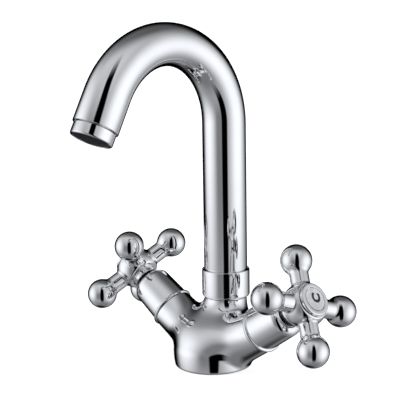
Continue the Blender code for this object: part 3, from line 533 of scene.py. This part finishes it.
def fit(new, body, slot_name, material, *nodes):
    """Finish a piece, let it ride on its body and stand it in for its CAD nodes."""
    new.data.materials.clear()
    new.data.materials.append(material)
    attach(new, body)
    if nodes:
        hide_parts(*nodes)


fit(body_casting, "root", "chrome", chrome, "body_casting")

# ---------------------------------------------------------------- seals and grub screw in the body
# A moulded rubber ring under the base, a plastic slip washer under the spout's collar, and the
# stainless screw at the back of the neck that holds the spout down.


def arc(radius, height, bend, start, end, steps):
    """Points of an arc in an outline, its middle at (radius, height) and its radius the bend.

    Angles are in degrees from the outward direction.
    """
    turns = [math.radians(start + (end - start) * step / steps) for step in range(steps + 1)]
    return [(radius + bend * math.cos(turn), height + bend * math.sin(turn)) for turn in turns]


def carry_over(material, *names):
    """Give hidden pieces, kept as they are, their finish."""
    for name in names:
        for slot in frame["nodes"][name].material_slots:
            slot.material = material


def speckled(name, colour, fleck, roughness, scale, depth):
    """A plain stuff with flecks, uneven shine and a fine grain."""
    material, shader, shade = finish(name, colour, 0.0, roughness)
    place = shade.node("TexCoord", output="Object")
    cloud = shade.node("TexNoise", Vector=place, Scale=scale * 0.3, Detail=3.0, Roughness=0.6)
    grain = shade.node("TexNoise", Vector=place, Scale=scale, Detail=4.0, Roughness=0.65)
    feed(shader, "Base Color", grain.soft(0.42, 0.72).mix((*colour, 1.0), (*fleck, 1.0)))
    feed(shader, "Roughness", (roughness - 0.06) + cloud * 0.14)
    feed(shader, "Normal", shade.node("Bump", Strength=0.35, Distance=depth, Height=grain))
    return material


rubber = speckled("moulded_rubber", (0.025, 0.025, 0.027), (0.05, 0.05, 0.052), 0.62, 1800.0,
                  0.04 * MM)
slip_plastic = speckled("grey_slip_plastic", (0.42, 0.43, 0.45), (0.5, 0.51, 0.53), 0.42, 1200.0,
                        0.02 * MM)
carry_over(rubber, "base_seal", "spigot_o_ring_upper", "spigot_o_ring_lower", "aerator_washer",
           "cold_spindle_o_ring", "hot_spindle_o_ring", "cold_seat_seal", "hot_seat_seal")
carry_over(slip_plastic, "swivel_washer", "aerator_cartridge")


def lathed(name, colour, metallic, roughness, place, pitch, strength):
    """Turned metal: fine rings round the axis it was turned on, and a little unevenness."""
    material, shader, shade = finish(name, colour, metallic, roughness)
    axis = place.to_3x3() @ Z_WAY
    arm = shade.node("VectorMath", {"operation": "SUBTRACT"}, output="Vector",
                     s0=shade.node("TexCoord", output="Object"), s1=place.translation)
    off_axis = shade.node("VectorMath", {"operation": "CROSS_PRODUCT"}, output="Vector", s0=arm,
                          s1=axis)
    radius = shade.node("VectorMath", {"operation": "LENGTH"}, output="Value", s0=off_axis)
    rings = shade.node("TexNoise", {"noise_dimensions": "1D"},
                       W=(arm.dot(axis) + radius) * (1.0 / pitch), Scale=1.0, Detail=3.0,
                       Roughness=0.7)
    cloud = shade.node("TexNoise", Vector=arm, Scale=140.0, Detail=3.0, Roughness=0.6)
    dull = tuple(part * 0.8 for part in colour)
    feed(shader, "Base Color", cloud.soft(0.35, 0.7).mix((*colour, 1.0), (*dull, 1.0)))
    feed(shader, "Roughness", (roughness - 0.05) + rings * 0.1)
    feed(shader, "Normal", shade.node("Bump", Strength=strength, Distance=0.03 * MM, Height=rings))
    return material


STEEL = (0.58, 0.58, 0.6)
GRUB_RADIUS = 2.4 * MM
GRUB_ROOT = 2.1 * MM
GRUB_TIP_RADIUS = 1.2 * MM
GRUB_TIP = 7.8 * MM                      # heights are from the spout's axis
GRUB_BACK = 12.9 * MM
GRUB_KEY_RADIUS = 1.15 * MM              # of the hexagon's corners
GRUB_KEY_DEPTH = 1.5 * MM

grub_steel = lathed("grub_screw_steel", STEEL, 1.0, 0.28, grub_place, 0.3 * MM, 0.4)
outline = [(0.0, GRUB_TIP), (GRUB_TIP_RADIUS, GRUB_TIP), (GRUB_TIP_RADIUS, 9.7 * MM),
           (GRUB_RADIUS, 10.3 * MM)]
for thread in (10.4 * MM, 11.2 * MM, 12.0 * MM):
    outline += [(GRUB_RADIUS, thread), (GRUB_ROOT, thread + 0.3 * MM),
                (GRUB_RADIUS, thread + 0.6 * MM)]
outline += [(GRUB_RADIUS, GRUB_BACK - 0.2 * MM), (GRUB_RADIUS - 0.2 * MM, GRUB_BACK),
            (0.0, GRUB_BACK)]
grub_screw = piece("spout_grub_screw_turned", moved(turned(outline, 36), grub_place), 25.0)
bored(grub_screw, rod(GRUB_KEY_RADIUS, GRUB_BACK - GRUB_KEY_DEPTH, GRUB_BACK + 1.7 * MM,
                      grub_place, 6))
fit(grub_screw, "root", "steel", grub_steel, "spout_grub_screw")

# ---------------------------------------------------------------- spout
# A brass tube, drawn, bent and plated. It is soldered into a turned collar whose spigot swivels
# in the neck on two rubber rings. The bend is pressed a little flat at its top.

TUBE_RADIUS = 12.5 * MM
TUBE_WALL = 1.2 * MM
TUBE_FOOT = 43.9 * MM
BEND_START = 140.0 * MM
BEND_RADIUS = 46.5 * MM
BEND_SWEEP = math.radians(151.5)
OUTLET_TILT = math.pi - BEND_SWEEP       # of the outlet from straight down
TUBE_END_LENGTH = 18.2 * MM              # straight, after the bend
FLATTENING = 0.7 * MM

tube = bmesh.new()
bmesh.ops.create_circle(tube, cap_ends=False, segments=96, radius=TUBE_RADIUS,
                        matrix=Matrix.Translation((0.0, 0.0, TUBE_FOOT)))
riser = bmesh.ops.extrude_edge_only(tube, edges=tube.edges)["geom"]
riser_top = [part for part in riser if isinstance(part, bmesh.types.BMVert)]
bmesh.ops.translate(tube, verts=riser_top, vec=(0.0, 0.0, BEND_START - TUBE_FOOT))
bend_centre = Vector((0.0, -BEND_RADIUS, BEND_START))
bend = bmesh.ops.spin(tube, geom=[part for part in riser
                                  if not isinstance(part, bmesh.types.BMFace)],
                      cent=bend_centre, axis=(1.0, 0.0, 0.0), angle=BEND_SWEEP, steps=72)
outlet_way = Vector((0.0, -math.sin(OUTLET_TILT), -math.cos(OUTLET_TILT)))
last_ring = [part for part in bend["geom_last"] if isinstance(part, bmesh.types.BMEdge)]
drop = bmesh.ops.extrude_edge_only(tube, edges=last_ring)["geom"]
bmesh.ops.translate(tube, verts=[part for part in drop if isinstance(part, bmesh.types.BMVert)],
                    vec=outlet_way * TUBE_END_LENGTH)
for corner in tube.verts:
    arm = Vector((0.0, corner.co.y, corner.co.z)) - bend_centre
    swept = math.atan2(arm.z, arm.y)
    if arm.z > 0.0 and 0.0 < swept < BEND_SWEEP:
        off_centre = arm.length - BEND_RADIUS
        squeeze = 1.0 - math.sin(math.pi * swept / BEND_SWEEP) * FLATTENING / TUBE_RADIUS
        arm = bend_centre + arm.normalized() * (BEND_RADIUS + off_centre * squeeze)
        corner.co = (corner.co.x, arm.y, arm.z)
bmesh.ops.recalc_face_normals(tube, faces=tube.faces)
spout_tube = piece("spout_tube_bent", moved(tube, spout_place), 40.0)
tube_wall = spout_tube.modifiers.new("wall", "SOLIDIFY")
tube_wall.thickness = TUBE_WALL
tube_wall.offset = -1.0
tube_wall.use_even_offset = True
tube_edge = spout_tube.modifiers.new("edge", "BEVEL")
tube_edge.width = 0.25 * MM
tube_edge.segments = 2
tube_edge.limit_method = "ANGLE"
tube_edge.angle_limit = math.radians(60.0)
fit(spout_tube, "spout", "chrome", chrome, "spout_tube")

COLLAR_RADIUS = 13.85 * MM
COLLAR_FOOT = 38.8 * MM
COLLAR_TOP = 55.1 * MM
TUBE_SOCKET_RADIUS = 12.8 * MM
TUBE_SOCKET_FOOT = 43.6 * MM
SPIGOT_RADIUS = 8.9 * MM
SPIGOT_FOOT = 19.5 * MM
SPIGOT_BORE = 5.5 * MM
GROOVE_FLOOR = SPIGOT_RADIUS - 1.5 * MM
RING_GROOVE_WIDTH = 2.4 * MM
GRUB_GROOVE_WIDTH = 3.4 * MM

outline = [(TUBE_SOCKET_RADIUS, COLLAR_TOP - 0.5 * MM), (13.1 * MM, COLLAR_TOP)]
outline += arc(COLLAR_RADIUS - 0.5 * MM, COLLAR_TOP - 0.5 * MM, 0.5 * MM, 90, 0, 6)
outline += arc(COLLAR_RADIUS - 1.8 * MM, COLLAR_FOOT + 1.8 * MM, 1.8 * MM, 0, -90, 12)
outline.append((SPIGOT_RADIUS, COLLAR_FOOT))
for height, width in ((34.0 * MM, RING_GROOVE_WIDTH), (28.5 * MM, RING_GROOVE_WIDTH),
                      (GRUB_HEIGHT, GRUB_GROOVE_WIDTH)):
    outline += [(SPIGOT_RADIUS, height + width / 2), (GROOVE_FLOOR, height + width / 2),
                (GROOVE_FLOOR, height - width / 2), (SPIGOT_RADIUS, height - width / 2)]
outline += [(SPIGOT_RADIUS, SPIGOT_FOOT + 0.5 * MM), (SPIGOT_RADIUS - 0.5 * MM, SPIGOT_FOOT),
            (SPIGOT_BORE, SPIGOT_FOOT), (SPIGOT_BORE, TUBE_SOCKET_FOOT),
            (TUBE_SOCKET_RADIUS, TUBE_SOCKET_FOOT)]
spout_collar = piece("spout_collar_turned", moved(turned(outline), spout_place))
fit(spout_collar, "spout", "chrome", chrome, "spout_collar")

# ---------------------------------------------------------------- aerator
# A turned and plated ring screwed into the spout's end. A moulded plastic screen, a honeycomb
# with a ring that lines the rolled rim, is set back a little inside it.

bend_end = Vector((0.0, -BEND_RADIUS * (1.0 + math.cos(OUTLET_TILT)),
                   BEND_START + BEND_RADIUS * math.sin(OUTLET_TILT)))
outlet_place = (spout_place @ Matrix.Translation(bend_end + outlet_way * TUBE_END_LENGTH)
                @ Matrix.Rotation(BEND_SWEEP, 4, "X"))


def threads(crest, root, start, pitch, turns):
    """Outline of a screw thread, drawn as plain rings. A crest comes first and a root last."""
    points = []
    for turn in range(turns):
        points += [(crest, start + pitch * turn), (root, start + pitch * (turn + 0.5))]
    return points


RIM_RADIUS = 10.2 * MM                   # of the opening
HOUSING_RADIUS = 11.6 * MM
HOUSING_BORE = 9.3 * MM
HOUSING_TOP = -6.0 * MM                  # heights run down the outlet, from the tube's end
HOUSING_END = 7.0 * MM
SHOULDER = 0.5 * MM                      # stands just off the tube's end
SCREEN_SEAT = 6.0 * MM

outline = [(HOUSING_BORE, HOUSING_TOP), (10.6 * MM, HOUSING_TOP)]
outline += threads(10.9 * MM, 10.5 * MM, -5.6 * MM, 0.9 * MM, 6)
outline += [(10.5 * MM, SHOULDER), (HOUSING_RADIUS - 0.25 * MM, SHOULDER),
            (HOUSING_RADIUS, SHOULDER + 0.25 * MM)]
outline += arc(HOUSING_RADIUS - 1.0 * MM, HOUSING_END - 1.0 * MM, 1.0 * MM, 0, 90, 8)
outline += arc(RIM_RADIUS + 0.3 * MM, HOUSING_END - 0.3 * MM, 0.3 * MM, 90, 180, 4)
outline += [(RIM_RADIUS, SCREEN_SEAT), (HOUSING_BORE, SCREEN_SEAT)]
aerator_housing = piece("aerator_housing_turned", moved(turned(outline), outlet_place))
fit(aerator_housing, "spout", "chrome", chrome, "aerator_housing")

SCREEN_RADIUS = 9.0 * MM
SCREEN_BACK = 5.2 * MM
RING_RADIUS = RIM_RADIUS - 0.05 * MM     # a ring on the screen lines the rim
RING_END = 6.75 * MM
CELL_PITCH = 1.7 * MM
CELL_RADIUS = 0.8 * MM

outline = [(0.0, SCREEN_BACK), (SCREEN_RADIUS, SCREEN_BACK),
           (SCREEN_RADIUS, SCREEN_SEAT + 0.05 * MM), (RING_RADIUS, SCREEN_SEAT + 0.05 * MM),
           (RING_RADIUS, RING_END), (RING_RADIUS - 0.35 * MM, RING_END),
           (SCREEN_RADIUS - 0.2 * MM, SCREEN_SEAT), (0.0, SCREEN_SEAT)]
aerator_screen = piece("aerator_honeycomb", moved(turned(outline), outlet_place))
cells = bmesh.new()
for row in range(-6, 7):
    for column in range(-6, 7):
        cell = Vector((CELL_PITCH * (column + row / 2), CELL_PITCH * row * math.sqrt(3) / 2,
                       (SCREEN_BACK + SCREEN_SEAT) / 2))
        if cell.xy.length < SCREEN_RADIUS - 1.1 * MM:
            bmesh.ops.create_cone(cells, cap_ends=True, segments=6, radius1=CELL_RADIUS,
                                  radius2=CELL_RADIUS, depth=3.0 * MM,
                                  matrix=outlet_place @ Matrix.Translation(cell))
bored(aerator_screen, cells)
# The screen is grey plastic; its near-black colour here is painted shade for the dark inside of the
# outlet.
screen_plastic_painted_shade = speckled("moulded_screen_painted_shade", (0.03, 0.031, 0.034), (0.06, 0.062, 0.067), 0.55,
                          1500.0, 0.02 * MM)
fit(aerator_screen, "spout", "grey_plastic", screen_plastic_painted_shade, "aerator_screen")

# ---------------------------------------------------------------- valves and their sleeves
# Each arm holds a brass headwork with a hexagon, nickel-washed and sealed by a red fibre washer.
# Its two ceramic discs stay hidden. A thin plated sleeve with a rolled bead slips over it.

CAGE_RADIUS = 8.3 * MM                   # heights are out along the arm
CAGE_BORE = 7.2 * MM
CAGE_FOOT = 26.7 * MM
CAGE_TOP = 36.0 * MM
THREAD_RADIUS = 9.1 * MM
THREAD_ROOT = THREAD_RADIUS - 0.5 * MM
FLANGE_RADIUS = 10.9 * MM
FLANGE_FOOT = 42.6 * MM
HEX_RADIUS = 8.5 * MM                    # across flats, halved
HEX_CORNER = HEX_RADIUS * 1.1547         # across corners, halved
HEX_BOTTOM = 44.0 * MM
HEX_TOP = 48.6 * MM
HEADWORK_NECK = 6.4 * MM
HEADWORK_TOP = 67.2 * MM
SPINDLE_BORE = 4.6 * MM
DISC_RADIUS = 6.8 * MM
DRIVE_FOOT = 33.3 * MM                   # of the spindle's plate, which drives the moving disc
DRIVE_TOP = 35.7 * MM
SLEEVE_RADIUS = 11.7 * MM
SLEEVE_WALL = 1.0 * MM
SLEEVE_START = 41.4 * MM
SLEEVE_TOP = 66.2 * MM
SLEEVE_MOUTH = 6.7 * MM
SLEEVE_DOME = 4.5 * MM                   # radius of the rounded top
BEAD_MIDDLE = 12.4 * MM
BEAD_RADIUS = 1.1 * MM

fibre = speckled("red_fibre", (0.34, 0.07, 0.045), (0.46, 0.14, 0.09), 0.72, 2600.0, 0.05 * MM)
ceramic = speckled("lapped_ceramic", (0.84, 0.82, 0.77), (0.78, 0.76, 0.7), 0.22, 3000.0,
                   0.005 * MM)
carry_over(fibre, "cold_headwork_washer", "hot_headwork_washer")
carry_over(ceramic, "cold_fixed_disc", "hot_fixed_disc", "cold_moving_disc", "hot_moving_disc")


def sectors(middle, inner, outer, bottom, top):
    """Two opposite sectors of 80 degrees, to cut the openings that the water takes."""
    builder = bmesh.new()
    for half_turn in (0.0, 180.0):
        start, end = middle + half_turn - 40.0, middle + half_turn + 40.0
        outline = arc(0.0, 0.0, outer, start, end, 12) + arc(0.0, 0.0, inner, end, start, 6)
        rim = [builder.verts.new((across, up, bottom)) for across, up in outline]
        raised = bmesh.ops.extrude_face_region(builder, geom=[builder.faces.new(rim)])["geom"]
        lid = [part for part in raised if isinstance(part, bmesh.types.BMVert)]
        bmesh.ops.translate(builder, verts=lid, vec=(0.0, 0.0, top - bottom))
    bmesh.ops.recalc_face_normals(builder, faces=builder.faces)
    return builder


for side, place in arms.items():
    # Its dark grey is partly the nickel wash and partly painted shade for the dark gap between the
    # sleeve and the handle.
    nickel = lathed(side + "_nickel_washed_brass_painted_shade", (0.27, 0.26, 0.24), 1.0, 0.24, place,
                    0.4 * MM, 0.25)
    outline = [(CAGE_BORE, CAGE_FOOT), (CAGE_RADIUS, CAGE_FOOT), (CAGE_RADIUS, CAGE_TOP)]
    outline += threads(THREAD_RADIUS, THREAD_ROOT, CAGE_TOP + 0.3 * MM, 1.0 * MM, 6)
    outline += [(THREAD_RADIUS, FLANGE_FOOT), (FLANGE_RADIUS, FLANGE_FOOT),
                (FLANGE_RADIUS, HEX_BOTTOM), (HEX_CORNER, HEX_BOTTOM + 0.3 * MM),
                (HEX_CORNER, HEX_TOP), (HEADWORK_NECK, HEX_TOP + 0.3 * MM),
                (HEADWORK_NECK, HEADWORK_TOP - 0.3 * MM),
                (HEADWORK_NECK - 0.3 * MM, HEADWORK_TOP), (SPINDLE_BORE, HEADWORK_TOP),
                (SPINDLE_BORE, CAGE_TOP), (CAGE_BORE, CAGE_TOP)]
    work = turned(outline)
    for corner in work.verts:
        if HEX_BOTTOM < corner.co.z <= HEX_TOP and corner.co.xy.length > HEADWORK_NECK + 0.1 * MM:
            flat = (math.degrees(math.atan2(corner.co.y, corner.co.x)) % 60.0) - 30.0
            corner.co.xy = corner.co.xy.normalized() * HEX_RADIUS / math.cos(math.radians(flat))
    headwork = piece(side + "_headwork_turned", moved(work, place), 25.0)
    bored(headwork, moved(sectors(0.0, DISC_RADIUS, THREAD_RADIUS, DRIVE_FOOT, DRIVE_TOP), place))
    fit(headwork, "root", "brass", nickel, side + "_headwork_body")

    dome_radius, dome_height = SLEEVE_RADIUS - SLEEVE_DOME, SLEEVE_TOP - SLEEVE_DOME
    outline = [(11.4 * MM, SLEEVE_START)]
    outline += arc(BEAD_MIDDLE, SLEEVE_START + BEAD_RADIUS, BEAD_RADIUS, -90, 90, 14)
    outline += [(BEAD_MIDDLE, SLEEVE_START + 2.3 * MM)]
    outline += arc(dome_radius, dome_height, SLEEVE_DOME, 0, 90, 16)
    outline += arc(SLEEVE_MOUTH + 0.2 * MM, SLEEVE_TOP - 0.2 * MM, 0.2 * MM, 90, 180, 3)
    outline += [(SLEEVE_MOUTH, SLEEVE_TOP - SLEEVE_WALL)]
    outline += arc(dome_radius, dome_height, SLEEVE_DOME - SLEEVE_WALL, 90, 0, 12)
    sleeve = piece(side + "_sleeve_spun", moved(turned(outline), place))
    fit(sleeve, "root", "chrome", chrome, side + "_sleeve")

# ---------------------------------------------------------------- spindles
# Turned brass. The notched plate at the foot drives the moving ceramic disc, a groove holds the
# rubber ring, and the fluted end, tapped for the screw, carries the handle.

SPINDLE_RADIUS = 4.2 * MM
RING_FLOOR = 3.2 * MM                    # of the groove for the rubber ring
RING_GROOVE_FOOT = 50.9 * MM
RING_GROOVE_TOP = 53.1 * MM
FLUTES = 24
FLUTE_CREST = 3.8 * MM
FLUTE_ROOT = 3.45 * MM
FLUTE_START = 67.8 * MM
FLUTE_END = 79.6 * MM
TAPPED_RADIUS = 2.1 * MM
TAPPED_FOOT = 71.6 * MM

for side, place in arms.items():
    # Its dark, greyed brass is partly painted shade for the dark gap between the sleeve and the
    # handle, where the spindle shows.
    brass = lathed(side + "_turned_brass_painted_shade", (0.22, 0.2, 0.16), 1.0, 0.3, place, 0.4 * MM, 0.3)
    outline = [(0.0, DRIVE_FOOT), (DISC_RADIUS, DRIVE_FOOT), (DISC_RADIUS, DRIVE_TOP),
               (SPINDLE_RADIUS, DRIVE_TOP), (SPINDLE_RADIUS, RING_GROOVE_FOOT),
               (RING_FLOOR, RING_GROOVE_FOOT), (RING_FLOOR, RING_GROOVE_TOP),
               (SPINDLE_RADIUS, RING_GROOVE_TOP), (SPINDLE_RADIUS, FLUTE_START - 0.3 * MM),
               (FLUTE_CREST, FLUTE_START - 0.3 * MM), (FLUTE_CREST, FLUTE_START),
               (FLUTE_CREST, FLUTE_START + 0.1 * MM), (FLUTE_CREST, FLUTE_END),
               (TAPPED_RADIUS, FLUTE_END), (TAPPED_RADIUS, TAPPED_FOOT), (0.0, TAPPED_FOOT)]
    work = turned(outline, FLUTES * 4)
    for corner in work.verts:
        if corner.co.z > FLUTE_START + 0.05 * MM and corner.co.xy.length > 3.0 * MM:
            step = round(math.atan2(corner.co.y, corner.co.x) / (2 * math.pi) * FLUTES * 4) % 4
            if step in (2, 3):
                corner.co.xy *= FLUTE_ROOT / FLUTE_CREST
    spindle = piece(side + "_spindle_turned", moved(work, place), 25.0)
    notches = sectors(90.0, 1.3 * MM, DISC_RADIUS + 3.0 * MM, DRIVE_FOOT - 3.0 * MM,
                      DRIVE_TOP + 0.1 * MM)
    bored(spindle, moved(notches, place))
    fit(spindle, side + "_handle", "brass", brass, side + "_spindle")

# ---------------------------------------------------------------- cross handles
# Die-cast zinc, polished and plated: a bulb with four round spokes that each end in a ball, run
# together in small hollows and bored from both ends for the spindle and its screw.

HUB_RADIUS = 12.4 * MM
HUB_HEIGHT = 78.8 * MM                   # along the arm, where the spokes meet
HUB_FRONT = 6.8 * MM                     # from there to the bulb's two flats
HUB_REAR = 6.9 * MM
BACK_COLLAR_RADIUS = 7.6 * MM
BACK_COLLAR_END = 10.4 * MM
SPOKE_RADIUS = 5.3 * MM
BALL_RADIUS = 8.9 * MM
BALL_CIRCLE = 26.7 * MM                  # radius of the circle through the balls' middles
HANDLE_GRAIN = 0.62 * MM

# How far each handle is turned round its arm when shut, from a spoke that points uphill.
handle_turns = {"cold": math.radians(-20.3), "hot": math.radians(52.7)}
handle_places = {side: place @ Matrix.Rotation(handle_turns[side], 4, "Z")
                 @ Matrix.Translation((0.0, 0.0, HUB_HEIGHT)) for side, place in arms.items()}


def handle_skin(points):
    """Distance outside a cross handle, with its spokes along X and Y."""
    along, across, height = points.T
    bulb = np.linalg.norm(points, axis=1) - HUB_RADIUS
    bulb = -blend(-bulb, HUB_FRONT - height, 0.5 * MM)
    bulb = -blend(-bulb, HUB_REAR + height, 1.2 * MM)
    collar = np.hypot(along, across) - BACK_COLLAR_RADIUS
    collar = -blend(-collar, BACK_COLLAR_END + height, 0.4 * MM)
    collar = np.maximum(collar, height)
    skin = blend(bulb, collar, 0.8 * MM)
    far, near = np.maximum(abs(along), abs(across)), np.minimum(abs(along), abs(across))
    spoke = np.hypot(near, height) - SPOKE_RADIUS
    spoke = np.maximum(spoke, far - BALL_CIRCLE)
    skin = blend(skin, spoke, 0.9 * MM)
    ball = np.sqrt((far - BALL_CIRCLE) ** 2 + near ** 2 + height ** 2) - BALL_RADIUS
    return blend(skin, ball, 1.3 * MM)


HANDLE_BORE = 4.1 * MM                   # for the spindle, from behind
HANDLE_BORE_END = 1.1 * MM
SCREW_HOLE = 2.1 * MM
SCREW_SEAT_RADIUS = 3.8 * MM
SCREW_SEAT = 3.1 * MM
CAP_SEAT_RADIUS = 8.5 * MM
CAP_SEAT = 5.0 * MM
BORE_OVERRUN = 12.0 * MM

for side, handle_place in handle_places.items():
    lumps = []
    for quarter in range(4):
        spin = Matrix.Rotation(quarter * math.pi / 2, 4, "Z") @ Matrix.Rotation(math.pi / 2, 4, "Y")
        lumps.append(rod(SPOKE_RADIUS, 0.0, BALL_CIRCLE, spin))
        ball = bmesh.new()
        bmesh.ops.create_uvsphere(ball, u_segments=48, v_segments=24, radius=BALL_RADIUS,
                                  matrix=spin @ Matrix.Translation((0.0, 0.0, BALL_CIRCLE)))
        lumps.append(ball)
    bulb = bmesh.new()
    bmesh.ops.create_uvsphere(bulb, u_segments=48, v_segments=24, radius=HUB_RADIUS)
    face_off(bulb, Z_WAY * HUB_FRONT, Z_WAY)
    face_off(bulb, Z_WAY * -HUB_REAR, -Z_WAY)
    lumps.append(bulb)
    lumps.append(rod(BACK_COLLAR_RADIUS, -BACK_COLLAR_END, 0.0, Matrix.Identity(4)))
    casting = moved(cast(joined(lumps), handle_skin, HANDLE_GRAIN), handle_place)
    handle = piece(side + "_cross_handle_cast", casting, 40.0)
    bore = turned([(0.0, -BORE_OVERRUN), (HANDLE_BORE, -BORE_OVERRUN),
                   (HANDLE_BORE, HANDLE_BORE_END), (SCREW_HOLE, HANDLE_BORE_END),
                   (SCREW_HOLE, SCREW_SEAT), (SCREW_SEAT_RADIUS, SCREW_SEAT),
                   (SCREW_SEAT_RADIUS, CAP_SEAT), (CAP_SEAT_RADIUS, CAP_SEAT),
                   (CAP_SEAT_RADIUS, BORE_OVERRUN), (0.0, BORE_OVERRUN)])
    bored(handle, moved(bore, handle_place))
    polish(handle, handle_skin, handle_place)
    fit(handle, side + "_handle", "chrome", chrome, side + "_cross_handle")

# ---------------------------------------------------------------- handle screws, caps and marks
# A stainless socket screw fixes each handle. A plated cap clips over it, with a satin disc let
# into its face that carries an enamelled C or H.

THREAD_CREST = 1.8 * MM                  # heights are above the spokes' middle
THREAD_CORE = 1.5 * MM
SCREW_TIP = -6.9 * MM
SHANK_FOOT = 3.0 * MM
SCREW_HEAD_RADIUS = 3.5 * MM
SCREW_HEAD_FOOT = 3.4 * MM
SCREW_HEAD_TOP = 5.4 * MM
SCREW_KEY_RADIUS = 1.44 * MM
SCREW_KEY_DEPTH = 1.0 * MM
CAP_FACE = 8.9 * MM
CAP_RADIUS = 9.45 * MM
CAP_FLANGE_FOOT = 7.1 * MM
CAP_SKIRT_OUTER = 8.2 * MM
CAP_SKIRT_INNER = 7.2 * MM
CAP_SKIRT_END = 5.3 * MM
CAP_CEILING = 6.9 * MM
RECESS_RADIUS = 6.8 * MM                 # for the disc
RECESS_FLOOR = 7.8 * MM
INDEX_RADIUS = 6.5 * MM
INDEX_BACK = 8.1 * MM
LETTER_SIZE = 7.6 * MM
LETTER_WEIGHT = 0.42 * MM                # thickening of its strokes
LETTER_RELIEF = 0.05 * MM
LETTER_OFFSET = (0.5 * MM, -0.9 * MM)    # from the disc's middle
LETTER_TURN = math.radians(-20.0)
enamel = speckled("black_enamel", (0.012, 0.012, 0.014), (0.03, 0.03, 0.034), 0.3, 2500.0,
                  0.01 * MM)

for side, handle_place in handle_places.items():
    steel = lathed(side + "_screw_steel", STEEL, 1.0, 0.26, handle_place, 0.3 * MM, 0.4)
    outline = [(0.0, SCREW_TIP), (THREAD_CORE, SCREW_TIP)]
    outline += threads(THREAD_CREST, THREAD_CORE, SCREW_TIP + 0.5 * MM, 0.9 * MM, 10)
    outline += [(THREAD_CREST, SHANK_FOOT), (THREAD_CREST, SCREW_HEAD_FOOT),
                (SCREW_HEAD_RADIUS, SCREW_HEAD_FOOT),
                (SCREW_HEAD_RADIUS, SCREW_HEAD_TOP - 0.2 * MM),
                (SCREW_HEAD_RADIUS - 0.2 * MM, SCREW_HEAD_TOP), (0.0, SCREW_HEAD_TOP)]
    screw = piece(side + "_handle_screw_turned", moved(turned(outline, 48), handle_place), 25.0)
    bored(screw, rod(SCREW_KEY_RADIUS, SCREW_HEAD_TOP - SCREW_KEY_DEPTH,
                     SCREW_HEAD_TOP + SCREW_KEY_DEPTH, handle_place, 6))
    fit(screw, side + "_handle", "steel", steel, side + "_handle_screw")

    outline = [(0.0, RECESS_FLOOR), (RECESS_RADIUS, RECESS_FLOOR)]
    outline += arc(RECESS_RADIUS + 0.2 * MM, CAP_FACE - 0.2 * MM, 0.2 * MM, 180, 90, 4)
    outline += arc(CAP_RADIUS - 0.8 * MM, CAP_FACE - 0.8 * MM, 0.8 * MM, 90, 0, 10)
    outline += [(CAP_RADIUS, CAP_FLANGE_FOOT + 0.2 * MM),
                (CAP_RADIUS - 0.2 * MM, CAP_FLANGE_FOOT), (CAP_SKIRT_OUTER, CAP_FLANGE_FOOT),
                (CAP_SKIRT_OUTER, CAP_SKIRT_END), (CAP_SKIRT_INNER, CAP_SKIRT_END),
                (CAP_SKIRT_INNER, CAP_CEILING), (0.0, CAP_CEILING)]
    cap = piece(side + "_index_cap_turned", moved(turned(outline), handle_place))
    fit(cap, side + "_handle", "chrome", chrome, side + "_index_cap")

    satin = lathed(side + "_satin_disc", CHROME, 0.15, 0.4, handle_place, 0.06 * MM, 0.12)
    outline = [(0.0, INDEX_BACK), (INDEX_RADIUS, INDEX_BACK), (INDEX_RADIUS, CAP_FACE - 0.1 * MM),
               (INDEX_RADIUS - 0.1 * MM, CAP_FACE), (0.0, CAP_FACE)]
    index_disc = piece(side + "_index_disc_turned", moved(turned(outline), handle_place))
    fit(index_disc, side + "_handle", "satin_chrome", satin, side + "_index_disc")

    letter = bpy.data.curves.new(side + "_mark", "FONT")
    letter.body = side[0].upper()
    letter.size = LETTER_SIZE
    letter.offset = LETTER_WEIGHT
    letter.extrude = LETTER_RELIEF
    letter.align_x = "CENTER"
    letter.align_y = "CENTER"
    writing = bpy.data.objects.new(side + "_mark_writing", letter)
    bpy.context.scene.collection.objects.link(writing)
    drawn = writing.evaluated_get(bpy.context.evaluated_depsgraph_get())
    work = bmesh.new()
    work.from_mesh(bpy.data.meshes.new_from_object(drawn))
    bpy.data.objects.remove(writing)
    bmesh.ops.remove_doubles(work, verts=work.verts, dist=1e-6)
    bmesh.ops.recalc_face_normals(work, faces=work.faces)
    across = [corner.co.x for corner in work.verts]
    up = [corner.co.y for corner in work.verts]
    middle = Vector(((min(across) + max(across)) / 2, (min(up) + max(up)) / 2, 0.0))
    bmesh.ops.translate(work, verts=work.verts, vec=-middle)
    reading = (arms[side] @ Matrix.Translation((*LETTER_OFFSET, HUB_HEIGHT + CAP_FACE))
               @ Matrix.Rotation(LETTER_TURN, 4, "Z"))
    mark = piece(side + "_mark", moved(work, reading), 25.0)
    fit(mark, side + "_handle", "grey_plastic", enamel)
